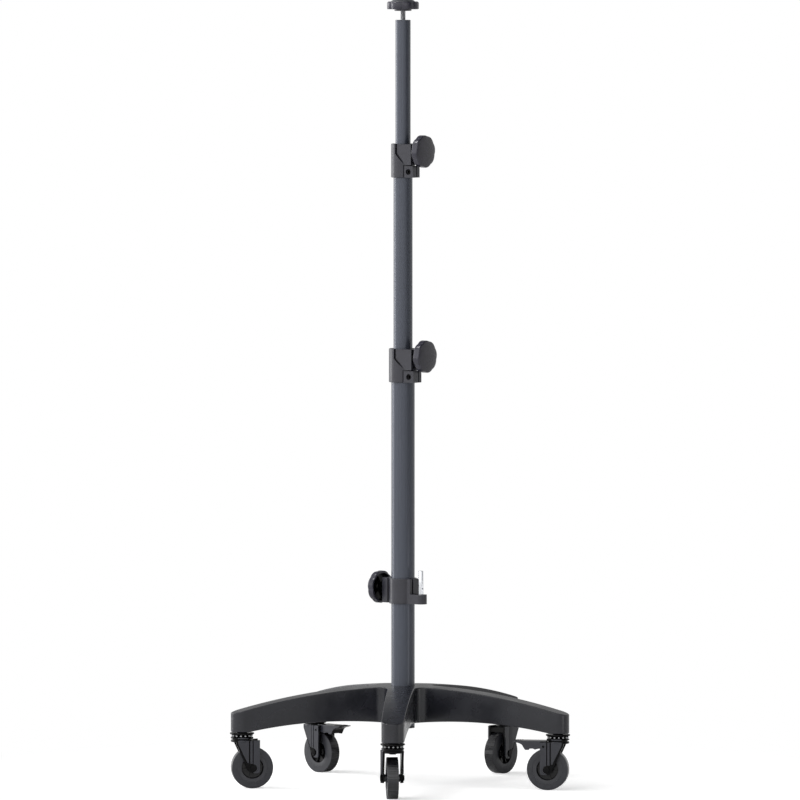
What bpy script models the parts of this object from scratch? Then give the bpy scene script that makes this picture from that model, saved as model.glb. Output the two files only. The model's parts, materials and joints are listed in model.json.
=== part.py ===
"""Rolling display stand: star base on five castors, three-tube mast, clamps and knobs.

Metres, +Z up. The origin is on the floor, at the centre of the stand's outline.
"""
import math

import bmesh
import bpy
from mathutils import Matrix, Vector

# Gap between pieces that touch on the real stand
FIT = 0.0003

# Points closer than this are one point
WELD = 0.000002
STAR_WELD = 0.00001

# Faces that meet at more than this angle keep a sharp edge between them
SHARP_ANGLE = math.radians(30)

# Star base
ARM_COUNT = 5
SWIVEL_RADIUS = 0.300
ARM_ROOT_HALF_WIDTH = 0.024
ARM_TIP_RADIUS = 0.0203
ARM_FILLET = 0.018
HUB_TOP_Z = 0.1805
TOP_ARC_RADIUS = 1.180
UNDER_ARC_RADIUS = 0.850
UNDER_ARC_CENTRE = 0.127
UNDER_TOP_Z = 0.1189
TIP_BOSS_Z = 0.1025
BASE_EDGE_BEVEL = 0.0012
BASE_EDGE_ANGLE = math.radians(55)
BASE_WALL = 0.004
BASE_RIB = 0.003
HUB_WALL = 0.009
POCKETS_PER_ARM = 4
FILLET_STEPS = 6
ARM_STEPS = 7
TIP_STEPS = 10

# Mast tubes
LOWER_TUBE_RADIUS = 0.02125
LOWER_TUBE_WALL = 0.002
LOWER_TUBE_BOTTOM_Z = 0.1055
MIDDLE_TUBE_RADIUS = 0.01725
MIDDLE_TUBE_WALL = 0.0015
MIDDLE_TUBE_BOTTOM_Z = 0.430
UPPER_TUBE_RADIUS = 0.01375
UPPER_TUBE_WALL = 0.0015
UPPER_TUBE_BOTTOM_Z = 0.684
UPPER_TUBE_TOP_Z = 1.3846
GUIDE_LENGTH = 0.030
GUIDE_LIP = 0.0015
GUIDE_RUNNING_GAP = 0.0003
FOOT_LIP = 0.002
FOOT_DEPTH = 0.010
GRUB_RADIUS = 0.004
GRUB_Z = 0.150

# Telescopic clamps
CLAMP_HEIGHT = 0.061
LOWER_CLAMP_Z = 0.7300
UPPER_CLAMP_Z = 1.1003
CLAMP_ANGLE = math.radians(-32.5)
CLAMP_WALL = 0.0040
CLAMP_CHAMFER = 0.0012
STEP = 0.0004
CLAMP_LIP = 0.003
CLAMP_LIP_BORE = 0.0009
TUBE_GRIP = 0.030
BLOCK_HEIGHT = 0.0378
BLOCK_REACH = 0.0100
BLOCK_FLAT = 0.0015
BLOCK_SLANT = 0.0205
BLOCK_BACK = 0.0015
SLANT_END_SHARE = 0.73
EAR_REACH = 0.0122
EAR_NEAR = 0.0050
EAR_FAR = 0.0047
EAR_GROOVE = 0.0008
SLIT_OFFSET = 0.0045
SLIT_WIDTH = 0.0024
PINCH_RADIUS = 0.003
PINCH_HEAD_RADIUS = 0.0046
PINCH_HEAD_DEPTH = 0.004
PINCH_SOCKET_RADIUS = 0.0024
PINCH_INSET = 0.0030
THUMB_DROP = 0.0135

# Thumb screws and knobs
SCREW_RADIUS = 0.004
SCREW_CHAMFER = 0.001
KNOB_RADIUS = 0.0295
KNOB_THICKNESS = 0.0145
KNOB_LOBES = 8
KNOB_LOBE_DEPTH = 0.0011
KNOB_HUB_RADIUS = 0.0068
KNOB_RECESS = 0.0085
KNOB_RIM = 0.0040
KNOB_STANDOFF = 0.0065
KNOB_BACK_INSET = 0.0008
KNOB_BACK_CHAMFER = 0.0014
KNOB_SIDE_DROP = 0.0052
KNOB_FACE_INSET = 0.0022
KNOB_CROWN = 0.0006
KNOB_CROWN_SHARE = 0.6
SCREW_DEPTH_IN_KNOB = 0.008

# Accessory collar
ACCESSORY_Z = 0.329
ACCESSORY_HEIGHT = 0.046
ACCESSORY_KNOB_ANGLE = math.radians(142.5)
ACCESSORY_ARM_ANGLE = math.radians(-37.5)
ACCESSORY_LINER_WALL = 0.0009
ACCESSORY_WALL = 0.0026
ACCESSORY_BOSS_REACH = 0.0160
ACCESSORY_BOSS_HALF_WIDTH = 0.010
ACCESSORY_EAR_REACH = 0.0036
ACCESSORY_EAR_NEAR = 0.0143
ACCESSORY_EAR_FAR = 0.0104
ACCESSORY_SLIT_OFFSET = 0.0066
ACCESSORY_SLIT_WIDTH = 0.0040
ACCESSORY_ARM_HEIGHT = 0.018
ACCESSORY_THUMB_DROP = 0.0185
ACCESSORY_PIN_REACH = 0.0206
ACCESSORY_PIN_OFFSET = 0.0035
ACCESSORY_ARM_HALF_WIDTH = 0.0108
ACCESSORY_ARM_STEPS = 12
ACCESSORY_ARM_SLIT_SHARE = 1 / 3
PIN_RADIUS = 0.0045
PIN_CHAMFER = 0.0008
PIN_TOP_Z = 0.390
PIN_DEPTH = 0.012
PIN_HOLE_RADIUS = 0.0011
PIN_HOLE_Z = 0.358

# Top knob
STUD_RADIUS = 0.0048
PLUG_DEPTH = 0.020
TOP_KNOB_Z = 0.0164
TOP_KNOB_COLLAR_RADIUS = 0.0155
TOP_KNOB_COLLAR_CHAMFER = 0.001
TOP_KNOB_HUB = 0.0030
TOP_KNOB_LID_DROP = 0.0012
CAP_RADIUS = 0.0215
CAP_RISE = 0.0055
CAP_SEAT = 0.0012
CAP_SHOULDER = (0.8, 0.55)
CAP_BROW = (0.45, 0.9)

# Castors
WHEEL_RADIUS = 0.0375
WHEEL_HALF_WIDTH = 0.010
TRAIL = 0.018
TYRE_INNER_RADIUS = 0.027
TYRE_ROUND = 0.0022
TYRE_ROUND_SHARE = 0.3
CORE_INSET = 0.0006
HUB_HALF_LENGTH = 0.0144
HUB_RADIUS = 0.0070
RECESS_RADIUS = 0.0198
RECESS_TAPER = 0.001
WEB_HALF_THICKNESS = 0.0045
AXLE_RADIUS = 0.003
AXLE_HEAD_RADIUS = 0.0058
AXLE_HEAD_HEIGHT = 0.0038
STEM_RADIUS = 0.0055
STEM_LENGTH = 0.024
STEM_CHAMFER = 0.001
STEM_NECK_RADIUS = 0.009
UPPER_RACE_RADIUS = 0.0220
UPPER_RACE_BEVEL = 0.002
UPPER_RACE_Z = 0.0953
UPPER_RACE_TOP_Z = 0.1010
LOWER_RACE_RADIUS = 0.0200
LOWER_RACE_Z = 0.0892
LOWER_RACE_BEVEL = 0.0015
CROWN_RADIUS = 0.0205
CROWN_Z = 0.0840
CROWN_SHOULDER = 0.0008
KING_PIN_RADIUS = 0.004
KING_PIN_HEAD_RADIUS = 0.007
KING_PIN_HEAD_HEIGHT = 0.0022
LEG_INNER = 0.0147
LEG_THICKNESS = 0.003
LEG_END_RADIUS = 0.0094
LEG_TOP_Z = 0.088
LEG_FRONT_X = -0.0125
LEG_SHOULDER_Z = 0.0815
LEG_KNEE = (0.0045, 0.0440)
LEG_BACK = 0.0125
LEG_CORNER = 0.005
LEG_END_START = 190
LEG_END_STEPS = 4
LEG_CORNER_STEPS = 2
STRIP_HEIGHT = 0.0028
STRIP_TOP_DROP = 0.001
STRIP_WIDTH = 0.012
STRIP_BOTTOM_Z = 0.0445
NARROW_RIB_WIDTH = 0.0044
NARROW_RIB_OFFSET = 0.0056
CASTOR_TRAILS = {"front": 97.0, "right": 174.5, "back_right": -124.5, "back_left": -43.5, "left": 11.5}
BRAKED = ("right", "back_left")

# Brake pedals
PEDAL_PIVOT_X = 0.024
PEDAL_PIVOT_Z = 0.0795
PEDAL_BARREL_RADIUS = 0.0042
PEDAL_PIN_RADIUS = 0.002
PEDAL_LENGTH = 0.081
PEDAL_TOP_Z = 0.0892
PEDAL_HALF_WIDTH = 0.0141
PEDAL_CHEEK = 0.002
PEDAL_PRESS = math.radians(12.0)
PEDAL_TOP_PLATE = 0.0025
PEDAL_FRONT_X = 0.0212
PEDAL_FRONT_RISE = 0.003
PEDAL_BARREL_STEPS = 4
PAD_GAP = 0.0010
PAD_ARC = (74, 58)
PEDAL_SHELF = ((0.0435, 0.0752), (0.0500, 0.0752))
PEDAL_HOOK = ((0.0512, 0.0727), (0.0580, 0.0727), (0.0600, 0.0755))
PEDAL_SWEEP = ((0.0647, 0.0826), (0.0750, 0.0862))
PEDAL_TIP_THICKNESS = 0.0012
PEDAL_CHANNEL_X = (0.0415, 0.0590)
PEDAL_CHANNEL_Z = 0.060

# Half the length of a cutter that goes right through a castor
THROUGH = 0.030

TUBE_SIDES = 32
COLLAR_SIDES = 32
SMALL_SIDES = 16
WHEEL_SIDES = 24
BOLT_SIDES = 12
HEXAGON = 6
KNOB_SIDES = KNOB_LOBES * 4

# The box of a five-arm star isn't centred on its mast: the front arm reaches further out
# than the two back arms, so the mast stands back from the centre by half the difference.
BACK_REACH = SWIVEL_RADIUS * math.cos(math.pi / ARM_COUNT)
MAST_Y = (SWIVEL_RADIUS - BACK_REACH) / 2


def clear_scene():
    for old in list(bpy.data.objects):
        bpy.data.objects.remove(old, do_unlink=True)


def make_material(name, colour, roughness, metallic=0.0):
    material = bpy.data.materials.new(name)
    material.use_nodes = True
    shader = material.node_tree.nodes["Principled BSDF"]
    shader.inputs["Base Color"].default_value = (*colour, 1.0)
    shader.inputs["Roughness"].default_value = roughness
    shader.inputs["Metallic"].default_value = metallic
    return material


def turned(profile, sides, flat_down=False):
    """Closed solid of a profile of (radius, height) points turned round Z.

    A profile that starts and ends on the axis gives a plain solid, and any other gives a ring.
    """
    bm = bmesh.new()
    start = math.pi / sides if flat_down else 0.0
    rings = []
    for radius, height in profile:
        if radius == 0:
            rings.append([bm.verts.new((0, 0, height))])
            continue
        ring = []
        for side in range(sides):
            angle = start + 2 * math.pi * side / sides
            ring.append(bm.verts.new((radius * math.cos(angle), radius * math.sin(angle), height)))
        rings.append(ring)
    pairs = list(zip(rings, rings[1:]))
    if len(rings[0]) > 1:
        pairs.append((rings[-1], rings[0]))
    for first, second in pairs:
        for side in range(sides):
            after = (side + 1) % sides
            corners = [first[side % len(first)], first[after % len(first)]]
            corners += [second[after % len(second)], second[side % len(second)]]
            loop = list(dict.fromkeys(corners))
            if len(loop) > 2:
                bm.faces.new(loop)
    return bm


def ring_profile(outer, inner, low, high):
    return [(inner, low), (outer, low), (outer, high), (inner, high)]


def rod_profile(radius, low, high):
    return [(0, low), (radius, low), (radius, high), (0, high)]


def prism(outline, low, high):
    """Solid of an outline of (x, y) points between two heights."""
    bm = bmesh.new()
    bottom = [bm.verts.new((x, y, low)) for x, y in outline]
    top = [bm.verts.new((x, y, high)) for x, y in outline]
    bm.faces.new(bottom)
    bm.faces.new(top)
    for index in range(len(outline)):
        after = (index + 1) % len(outline)
        bm.faces.new([bottom[index], bottom[after], top[after], top[index]])
    return bm


def block(x_low, x_high, y_low, y_high, z_low, z_high):
    return prism([(x_low, y_low), (x_high, y_low), (x_high, y_high), (x_low, y_high)], z_low, z_high)


def side_prism(outline, y_low, y_high):
    """Solid of an outline of (x, z) points between two places along Y."""
    bm = prism(outline, -y_high, -y_low)
    bmesh.ops.transform(bm, matrix=Matrix.Rotation(math.pi / 2, 4, "X"), verts=bm.verts)
    return bm


def arc(centre, radius, start, end, steps):
    """Points of an arc, angles in degrees."""
    points = []
    for step in range(steps + 1):
        angle = math.radians(start + (end - start) * step / steps)
        points.append((centre[0] + radius * math.cos(angle), centre[1] + radius * math.sin(angle)))
    return points


def moved(bm, x=0.0, y=0.0, z=0.0):
    bmesh.ops.translate(bm, vec=(x, y, z), verts=bm.verts)
    return bm


def aimed(bm, angle=0.0):
    """Lays a solid made along Z along +X, then turns it round Z."""
    lay = Matrix.Rotation(angle, 4, "Z") @ Matrix.Rotation(math.pi / 2, 4, "Y")
    bmesh.ops.transform(bm, matrix=lay, verts=bm.verts)
    return bm


def across(bm):
    """Lays a solid made along Z along +Y."""
    bmesh.ops.transform(bm, matrix=Matrix.Rotation(-math.pi / 2, 4, "X"), verts=bm.verts)
    return bm


def to_object(bm, name):
    bmesh.ops.recalc_face_normals(bm, faces=bm.faces)
    mesh = bpy.data.meshes.new(name)
    bm.to_mesh(mesh)
    bm.free()
    made = bpy.data.objects.new(name, mesh)
    bpy.context.scene.collection.objects.link(made)
    return made


def apply_modifiers(made):
    depsgraph = bpy.context.evaluated_depsgraph_get()
    depsgraph.update()
    mesh = bpy.data.meshes.new_from_object(made.evaluated_get(depsgraph))
    bm = bmesh.new()
    bm.from_mesh(mesh)
    bmesh.ops.remove_doubles(bm, verts=bm.verts, dist=WELD)
    bmesh.ops.dissolve_degenerate(bm, edges=bm.edges, dist=WELD)
    bm.to_mesh(mesh)
    bm.free()
    made.modifiers.clear()
    made.data = mesh


def carve(made, operation, solids):
    """Joins solids to an object, or cuts them from it, one after the other."""
    for solid in solids:
        tool = to_object(solid, "tool")
        tool.hide_render = True
        tool.display_type = "WIRE"
        modifier = made.modifiers.new(operation, "BOOLEAN")
        modifier.operation = operation
        modifier.solver = "EXACT"
        modifier.object = tool
        apply_modifiers(made)
        bpy.data.objects.remove(tool, do_unlink=True)
    return made


def bevel_edges(made, width, angle):
    modifier = made.modifiers.new("bevel", "BEVEL")
    modifier.width = width
    modifier.segments = 1
    modifier.limit_method = "ANGLE"
    modifier.angle_limit = angle
    apply_modifiers(made)


def finish(made, name, material, parent=None, place=(0, 0, 0), turn=(0, 0, 0)):
    """Names, colours and places an object."""
    made.name = name
    made.data.name = name
    made.data.materials.clear()
    made.data.materials.append(material)
    made.data.shade_smooth()
    made.data.set_sharp_from_angle(angle=SHARP_ANGLE)
    made.parent = parent
    made.location = place
    made.rotation_euler = turn
    return made


def axis_empty(name, place, turn=(0, 0, 0), parent=None):
    empty = bpy.data.objects.new(name, None)
    bpy.context.scene.collection.objects.link(empty)
    empty.location = place
    empty.rotation_euler = turn
    empty.parent = parent
    return empty


def top_height(radius):
    """Height of the arched top of the base at a distance from the mast."""
    return HUB_TOP_Z - TOP_ARC_RADIUS + math.sqrt(TOP_ARC_RADIUS ** 2 - radius ** 2)


def under_height(radius):
    """Height of the arched underside of the base at a distance from the mast."""
    out = radius - UNDER_ARC_CENTRE
    drop = UNDER_ARC_RADIUS - math.sqrt(UNDER_ARC_RADIUS ** 2 - out ** 2)
    return max(UNDER_TOP_Z - drop, TIP_BOSS_Z)


def arm_side_points():
    """Pairs of a point on the arm's middle line and one on its left side, hub to tip."""
    half_step = math.pi / ARM_COUNT
    centre_out = (ARM_FILLET + ARM_ROOT_HALF_WIDTH) / math.sin(half_step)
    centre = Vector((math.cos(half_step), math.sin(half_step))) * centre_out
    tangent_x = centre.x
    pairs = []
    for step in range(FILLET_STEPS + 1):
        share = step / FILLET_STEPS
        angle = half_step + math.pi + (math.pi / 2 - half_step) * share
        side = centre + Vector((math.cos(angle), math.sin(angle))) * ARM_FILLET
        pairs.append(((tangent_x * share, 0.0), (side.x, side.y)))
    for step in range(1, ARM_STEPS + 1):
        share = step / ARM_STEPS
        along = tangent_x + (SWIVEL_RADIUS - tangent_x) * share
        half_width = ARM_ROOT_HALF_WIDTH + (ARM_TIP_RADIUS - ARM_ROOT_HALF_WIDTH) * share
        pairs.append(((along, 0.0), (along, half_width)))
    return pairs


def star_solid():
    """Five arms and hub as one closed mesh, arched over and under."""
    bm = bmesh.new()

    def level(face_points, height_of, turn):
        for x, y in face_points:
            yield bm.verts.new((*(turn @ Vector((x, y))), height_of(math.hypot(x, y))))

    pairs = arm_side_points()
    tip_middle = pairs[-1][0]
    tip = arc(tip_middle, ARM_TIP_RADIUS, 90, -90, TIP_STEPS)
    for arm in range(ARM_COUNT):
        turn = Matrix.Rotation(2 * math.pi * arm / ARM_COUNT, 2)
        for height_of in (top_height, under_height):
            for mirror in (1, -1):
                for (near_mid, near_side), (far_mid, far_side) in zip(pairs, pairs[1:]):
                    corners = [near_mid, far_mid, far_side, near_side]
                    flipped = [(x, y * mirror) for x, y in corners]
                    bm.faces.new(list(level(flipped, height_of, turn)))
            for first, second in zip(tip, tip[1:]):
                bm.faces.new(list(level([tip_middle, first, second], height_of, turn)))
        left = [side for middle, side in pairs]
        outline = left + tip[1:-1] + [(x, -y) for x, y in reversed(left)]
        for first, second in zip(outline, outline[1:]):
            upper = list(level([first, second], top_height, turn))
            lower = list(level([second, first], under_height, turn))
            bm.faces.new(upper + lower)
    bmesh.ops.remove_doubles(bm, verts=bm.verts, dist=STAR_WELD)
    return bm


def arm_pockets(angle):
    """Open cells under one arm, with a rib left between each two."""
    inner_end = LOWER_TUBE_RADIUS + HUB_WALL + BASE_RIB
    outer_end = SWIVEL_RADIUS - ARM_TIP_RADIUS
    pitch = (outer_end - inner_end) / POCKETS_PER_ARM
    slope = (ARM_ROOT_HALF_WIDTH - ARM_TIP_RADIUS) / SWIVEL_RADIUS
    pockets = []
    for index in range(POCKETS_PER_ARM):
        start = inner_end + pitch * index
        end = start + pitch - BASE_RIB
        bm = bmesh.new()
        corners = []
        for along in (start, end):
            half = ARM_ROOT_HALF_WIDTH - slope * along - BASE_WALL
            ceiling = top_height(along) - BASE_WALL
            corners.append([bm.verts.new((along, half, TIP_BOSS_Z - BASE_WALL)),
                            bm.verts.new((along, half, ceiling)),
                            bm.verts.new((along, -half, ceiling)),
                            bm.verts.new((along, -half, TIP_BOSS_Z - BASE_WALL))])
        bm.faces.new(corners[0])
        bm.faces.new(corners[1])
        for side in range(4):
            after = (side + 1) % 4
            bm.faces.new([corners[0][side], corners[0][after], corners[1][after], corners[1][side]])
        bmesh.ops.rotate(bm, matrix=Matrix.Rotation(angle, 3, "Z"), verts=bm.verts)
        pockets.append(bm)
    return pockets


def build_base(materials, mast):
    base = to_object(star_solid(), "star_base")
    bevel_edges(base, BASE_EDGE_BEVEL, BASE_EDGE_ANGLE)
    sockets = []
    pockets = []
    for arm in range(ARM_COUNT):
        angle = 2 * math.pi * arm / ARM_COUNT
        out = (SWIVEL_RADIUS * math.cos(angle), SWIVEL_RADIUS * math.sin(angle))
        depth = TIP_BOSS_Z + STEM_LENGTH + FIT
        socket = rod_profile(STEM_RADIUS + FIT, TIP_BOSS_Z - BASE_WALL, depth)
        sockets.append(moved(turned(socket, SMALL_SIDES, True), *out))
        pockets += arm_pockets(angle)
    bore = turned(rod_profile(LOWER_TUBE_RADIUS + FIT, 0.0, HUB_TOP_Z * 2), TUBE_SIDES, True)
    grub = turned(rod_profile(GRUB_RADIUS + FIT, 0.0, SWIVEL_RADIUS), SMALL_SIDES)
    grub = moved(aimed(grub, math.pi), z=GRUB_Z)
    carve(base, "DIFFERENCE", sockets + pockets + [bore, grub])
    finish(base, "star_base", materials["cast"], mast, turn=(0, 0, -math.pi / 2))

    hub_back = (ARM_FILLET + ARM_ROOT_HALF_WIDTH) / math.sin(math.pi / ARM_COUNT) - ARM_FILLET
    screw = [(0, LOWER_TUBE_RADIUS + FIT), (GRUB_RADIUS, LOWER_TUBE_RADIUS + FIT)]
    screw += [(GRUB_RADIUS, hub_back), (GRUB_RADIUS / 2, hub_back)]
    screw += [(GRUB_RADIUS / 2, hub_back - GRUB_RADIUS), (0, hub_back - GRUB_RADIUS)]
    grub_screw = to_object(aimed(turned(screw, BOLT_SIDES), math.pi / 2), "grub")
    finish(grub_screw, "mast_grub_screw", materials["steel"], mast, (0, 0, GRUB_Z))


def build_tube(name, radius, wall, low, high, material, mast):
    tube = to_object(turned(ring_profile(radius, radius - wall, low, high), TUBE_SIDES), name)
    return finish(tube, name, material, mast)


def build_guide_bush(name, tube_radius, tube_bottom, outer_radius, materials, mast):
    """Sleeve round the lower end of an inner tube, with a lip under the tube's end."""
    inner = tube_radius + FIT
    lip_inner = tube_radius - 2 * GUIDE_LIP
    low = tube_bottom - FIT - GUIDE_LIP
    profile = [(lip_inner, low), (outer_radius, low), (outer_radius, tube_bottom + GUIDE_LENGTH)]
    profile += [(inner, tube_bottom + GUIDE_LENGTH), (inner, tube_bottom - FIT)]
    profile += [(lip_inner, tube_bottom - FIT)]
    bush = to_object(turned(profile, TUBE_SIDES), name)
    return finish(bush, name, materials["nylon"], mast)


def build_mast(materials, mast):
    paint = materials["tube"]
    lower_top = LOWER_CLAMP_Z + TUBE_GRIP
    middle_top = UPPER_CLAMP_Z + TUBE_GRIP
    build_tube("lower_tube", LOWER_TUBE_RADIUS, LOWER_TUBE_WALL, LOWER_TUBE_BOTTOM_Z, lower_top, paint, mast)
    build_tube("middle_tube", MIDDLE_TUBE_RADIUS, MIDDLE_TUBE_WALL, MIDDLE_TUBE_BOTTOM_Z, middle_top,
               paint, mast)
    build_tube("upper_tube", UPPER_TUBE_RADIUS, UPPER_TUBE_WALL, UPPER_TUBE_BOTTOM_Z, UPPER_TUBE_TOP_Z,
               paint, mast)
    middle_bush = LOWER_TUBE_RADIUS - LOWER_TUBE_WALL - GUIDE_RUNNING_GAP
    upper_bush = MIDDLE_TUBE_RADIUS - MIDDLE_TUBE_WALL - GUIDE_RUNNING_GAP
    build_guide_bush("middle_guide_bush", MIDDLE_TUBE_RADIUS, MIDDLE_TUBE_BOTTOM_Z, middle_bush,
                     materials, mast)
    build_guide_bush("upper_guide_bush", UPPER_TUBE_RADIUS, UPPER_TUBE_BOTTOM_Z, upper_bush,
                     materials, mast)

    plug_radius = LOWER_TUBE_RADIUS - LOWER_TUBE_WALL - FIT
    seat = LOWER_TUBE_BOTTOM_Z - FIT
    foot = [(0, seat - FOOT_LIP), (LOWER_TUBE_RADIUS, seat - FOOT_LIP), (LOWER_TUBE_RADIUS, seat)]
    foot += [(plug_radius, seat), (plug_radius, seat + FOOT_DEPTH), (0, seat + FOOT_DEPTH)]
    finish(to_object(turned(foot, TUBE_SIDES), "foot"), "mast_foot_plug", materials["nylon"], mast)


def clamp_collar(bore_radius):
    """One telescopic clamp: collar, knob block above and split ears below, along +X."""
    outer = bore_radius + CLAMP_WALL
    height = CLAMP_HEIGHT
    rim = [(0, 0), (outer - CLAMP_CHAMFER, 0), (outer, CLAMP_CHAMFER), (outer, height - CLAMP_CHAMFER)]
    rim += [(outer - CLAMP_CHAMFER, height), (0, height)]
    collar = to_object(turned(rim, COLLAR_SIDES), "collar")
    flat = outer - BLOCK_FLAT
    block_low = height - BLOCK_HEIGHT
    slant_end = outer * SLANT_END_SHARE
    slant = [(-BLOCK_BACK, block_low + BLOCK_SLANT), (slant_end, block_low)]
    outline = [(-BLOCK_BACK, height - STEP)] + slant
    outline += [(outer + BLOCK_REACH, block_low), (outer + BLOCK_REACH, height - STEP)]
    ears = block(0, outer + EAR_REACH, -(outer - EAR_NEAR), EAR_FAR, STEP, block_low - EAR_GROOVE)
    neck = turned(rod_profile(KNOB_HUB_RADIUS, 0, outer + BLOCK_REACH + EAR_GROOVE), SMALL_SIDES)
    neck = moved(aimed(neck), z=height - THUMB_DROP)
    carve(collar, "UNION", [side_prism(outline, -flat, flat), ears, neck])
    pocket = [(-BLOCK_BACK - STEP, height * 2), (-BLOCK_BACK - STEP, slant[0][1])]
    pocket += [(slant_end - STEP, block_low - STEP), (outer * 2, block_low - STEP), (outer * 2, height * 2)]
    pockets = [side_prism(pocket, -outer * 2, -flat + STEP), side_prism(pocket, flat - STEP, outer * 2)]
    lip = height - CLAMP_LIP
    lip_bore = bore_radius - CLAMP_WALL + CLAMP_LIP_BORE
    bores = [turned(rod_profile(bore_radius, -height, lip), COLLAR_SIDES, True)]
    bores.append(turned(rod_profile(lip_bore, 0, height * 2), COLLAR_SIDES, True))
    slit_near = -SLIT_OFFSET - SLIT_WIDTH / 2
    slit_far = -SLIT_OFFSET + SLIT_WIDTH / 2
    slit = block(bore_radius / 2, outer * 2, slit_near, slit_far, -height, block_low - EAR_GROOVE / 2)
    thumb = aimed(turned(rod_profile(SCREW_RADIUS + FIT, 0, outer * 2), SMALL_SIDES))
    moved(thumb, z=height - THUMB_DROP)
    pinch = turned(rod_profile(PINCH_RADIUS + FIT, -outer * 2, outer * 2), BOLT_SIDES)
    head_seat = -(outer - EAR_NEAR) + PINCH_HEAD_DEPTH + FIT
    head = turned(rod_profile(PINCH_HEAD_RADIUS + FIT, -outer * 2, head_seat), BOLT_SIDES)
    screw_x = bore_radius + PINCH_INSET + PINCH_RADIUS
    for solid in (pinch, head):
        moved(across(solid), x=screw_x, z=(block_low - EAR_GROOVE) / 2)
    carve(collar, "DIFFERENCE", pockets + bores + [slit, thumb, pinch, head])
    return collar


def pinch_screw(bore_radius):
    """Socket screw that pinches the ears, head in its counterbore, along +Y."""
    outer = bore_radius + CLAMP_WALL
    start = -(outer - EAR_NEAR)
    seat = start + PINCH_HEAD_DEPTH
    floor = start + PINCH_RADIUS
    profile = [(0, floor), (PINCH_SOCKET_RADIUS, floor), (PINCH_SOCKET_RADIUS, start + FIT)]
    profile += [(PINCH_HEAD_RADIUS, start + FIT), (PINCH_HEAD_RADIUS, seat), (PINCH_RADIUS, seat)]
    profile += [(PINCH_RADIUS, EAR_FAR), (0, EAR_FAR)]
    return to_object(across(turned(profile, BOLT_SIDES)), "pinch")


def wave_rim(bm, rim_inner):
    """Draws the rim in between its lobes."""
    for vert in bm.verts:
        radius = math.hypot(vert.co.x, vert.co.y)
        if radius > rim_inner + FIT:
            wave = (1 - math.cos(KNOB_LOBES * math.atan2(vert.co.y, vert.co.x))) / 2
            share = (radius - KNOB_LOBE_DEPTH * wave) / radius
            vert.co.x *= share
            vert.co.y *= share


def knob_edge(back, face):
    """The outer edge of a knob's profile, from its back to the shoulder of its face."""
    edge = [(KNOB_RADIUS - KNOB_BACK_INSET, back), (KNOB_RADIUS, back + KNOB_BACK_CHAMFER)]
    edge += [(KNOB_RADIUS, face - KNOB_SIDE_DROP), (KNOB_RADIUS - KNOB_FACE_INSET, face - KNOB_FACE_INSET)]
    return edge


def knob_solid():
    """Lobed knob along +Z: hub end at zero, hollow back, slightly domed face."""
    back = KNOB_STANDOFF
    face = KNOB_STANDOFF + KNOB_THICKNESS
    bore_depth = SCREW_DEPTH_IN_KNOB + FIT
    rim_inner = KNOB_RADIUS - KNOB_RIM
    ceiling = back + KNOB_RECESS
    bore = SCREW_RADIUS + FIT
    profile = [(0, bore_depth), (bore, bore_depth), (bore, 0), (KNOB_HUB_RADIUS, 0)]
    profile += [(KNOB_HUB_RADIUS, ceiling), (rim_inner, ceiling), (rim_inner, back)]
    profile += knob_edge(back, face)
    profile += [(KNOB_RADIUS * KNOB_CROWN_SHARE, face - KNOB_CROWN), (0, face)]
    bm = turned(profile, KNOB_SIDES)
    wave_rim(bm, rim_inner)
    return bm


def build_thumb_screw(name, tip, seat, materials, parent):
    """Threaded screw and its knob along the parent's +Z, from the tube to the knob's face."""
    end = seat + SCREW_DEPTH_IN_KNOB
    screw = [(0, tip), (SCREW_RADIUS - SCREW_CHAMFER, tip), (SCREW_RADIUS, tip + SCREW_CHAMFER)]
    screw += [(SCREW_RADIUS, end), (0, end)]
    finish(to_object(turned(screw, SMALL_SIDES), "screw"), name + "_screw", materials["steel"], parent)
    finish(to_object(knob_solid(), "knob"), name + "_knob", materials["knob"], parent, (0, 0, seat))


def build_clamp(name, bore_tube, inner_tube, base_z, materials, mast):
    bore = bore_tube + FIT
    outer = bore + CLAMP_WALL
    frame = axis_empty(name + "_frame", (0, 0, base_z), (0, 0, CLAMP_ANGLE), mast)
    finish(clamp_collar(bore), name + "_collar", materials["clamp"], frame)
    screw_x = bore + PINCH_INSET + PINCH_RADIUS
    screw_z = (CLAMP_HEIGHT - BLOCK_HEIGHT - EAR_GROOVE) / 2
    finish(pinch_screw(bore), name + "_pinch_screw", materials["steel"], frame, (screw_x, 0, screw_z))

    low = TUBE_GRIP + FIT
    high = CLAMP_HEIGHT - CLAMP_LIP - FIT
    liner = to_object(turned(ring_profile(bore_tube, inner_tube + FIT, low, high), COLLAR_SIDES), "liner")
    hole = turned(rod_profile(SCREW_RADIUS + FIT, 0, outer), SMALL_SIDES)
    carve(liner, "DIFFERENCE", [moved(aimed(hole), z=CLAMP_HEIGHT - THUMB_DROP)])
    finish(liner, name + "_liner_bush", materials["nylon"], frame)

    axis = axis_empty(name + "_knob_axis", (0, 0, CLAMP_HEIGHT - THUMB_DROP), (0, math.pi / 2, 0), frame)
    build_thumb_screw(name, inner_tube + FIT, outer + BLOCK_REACH + EAR_GROOVE + FIT, materials, axis)


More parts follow.
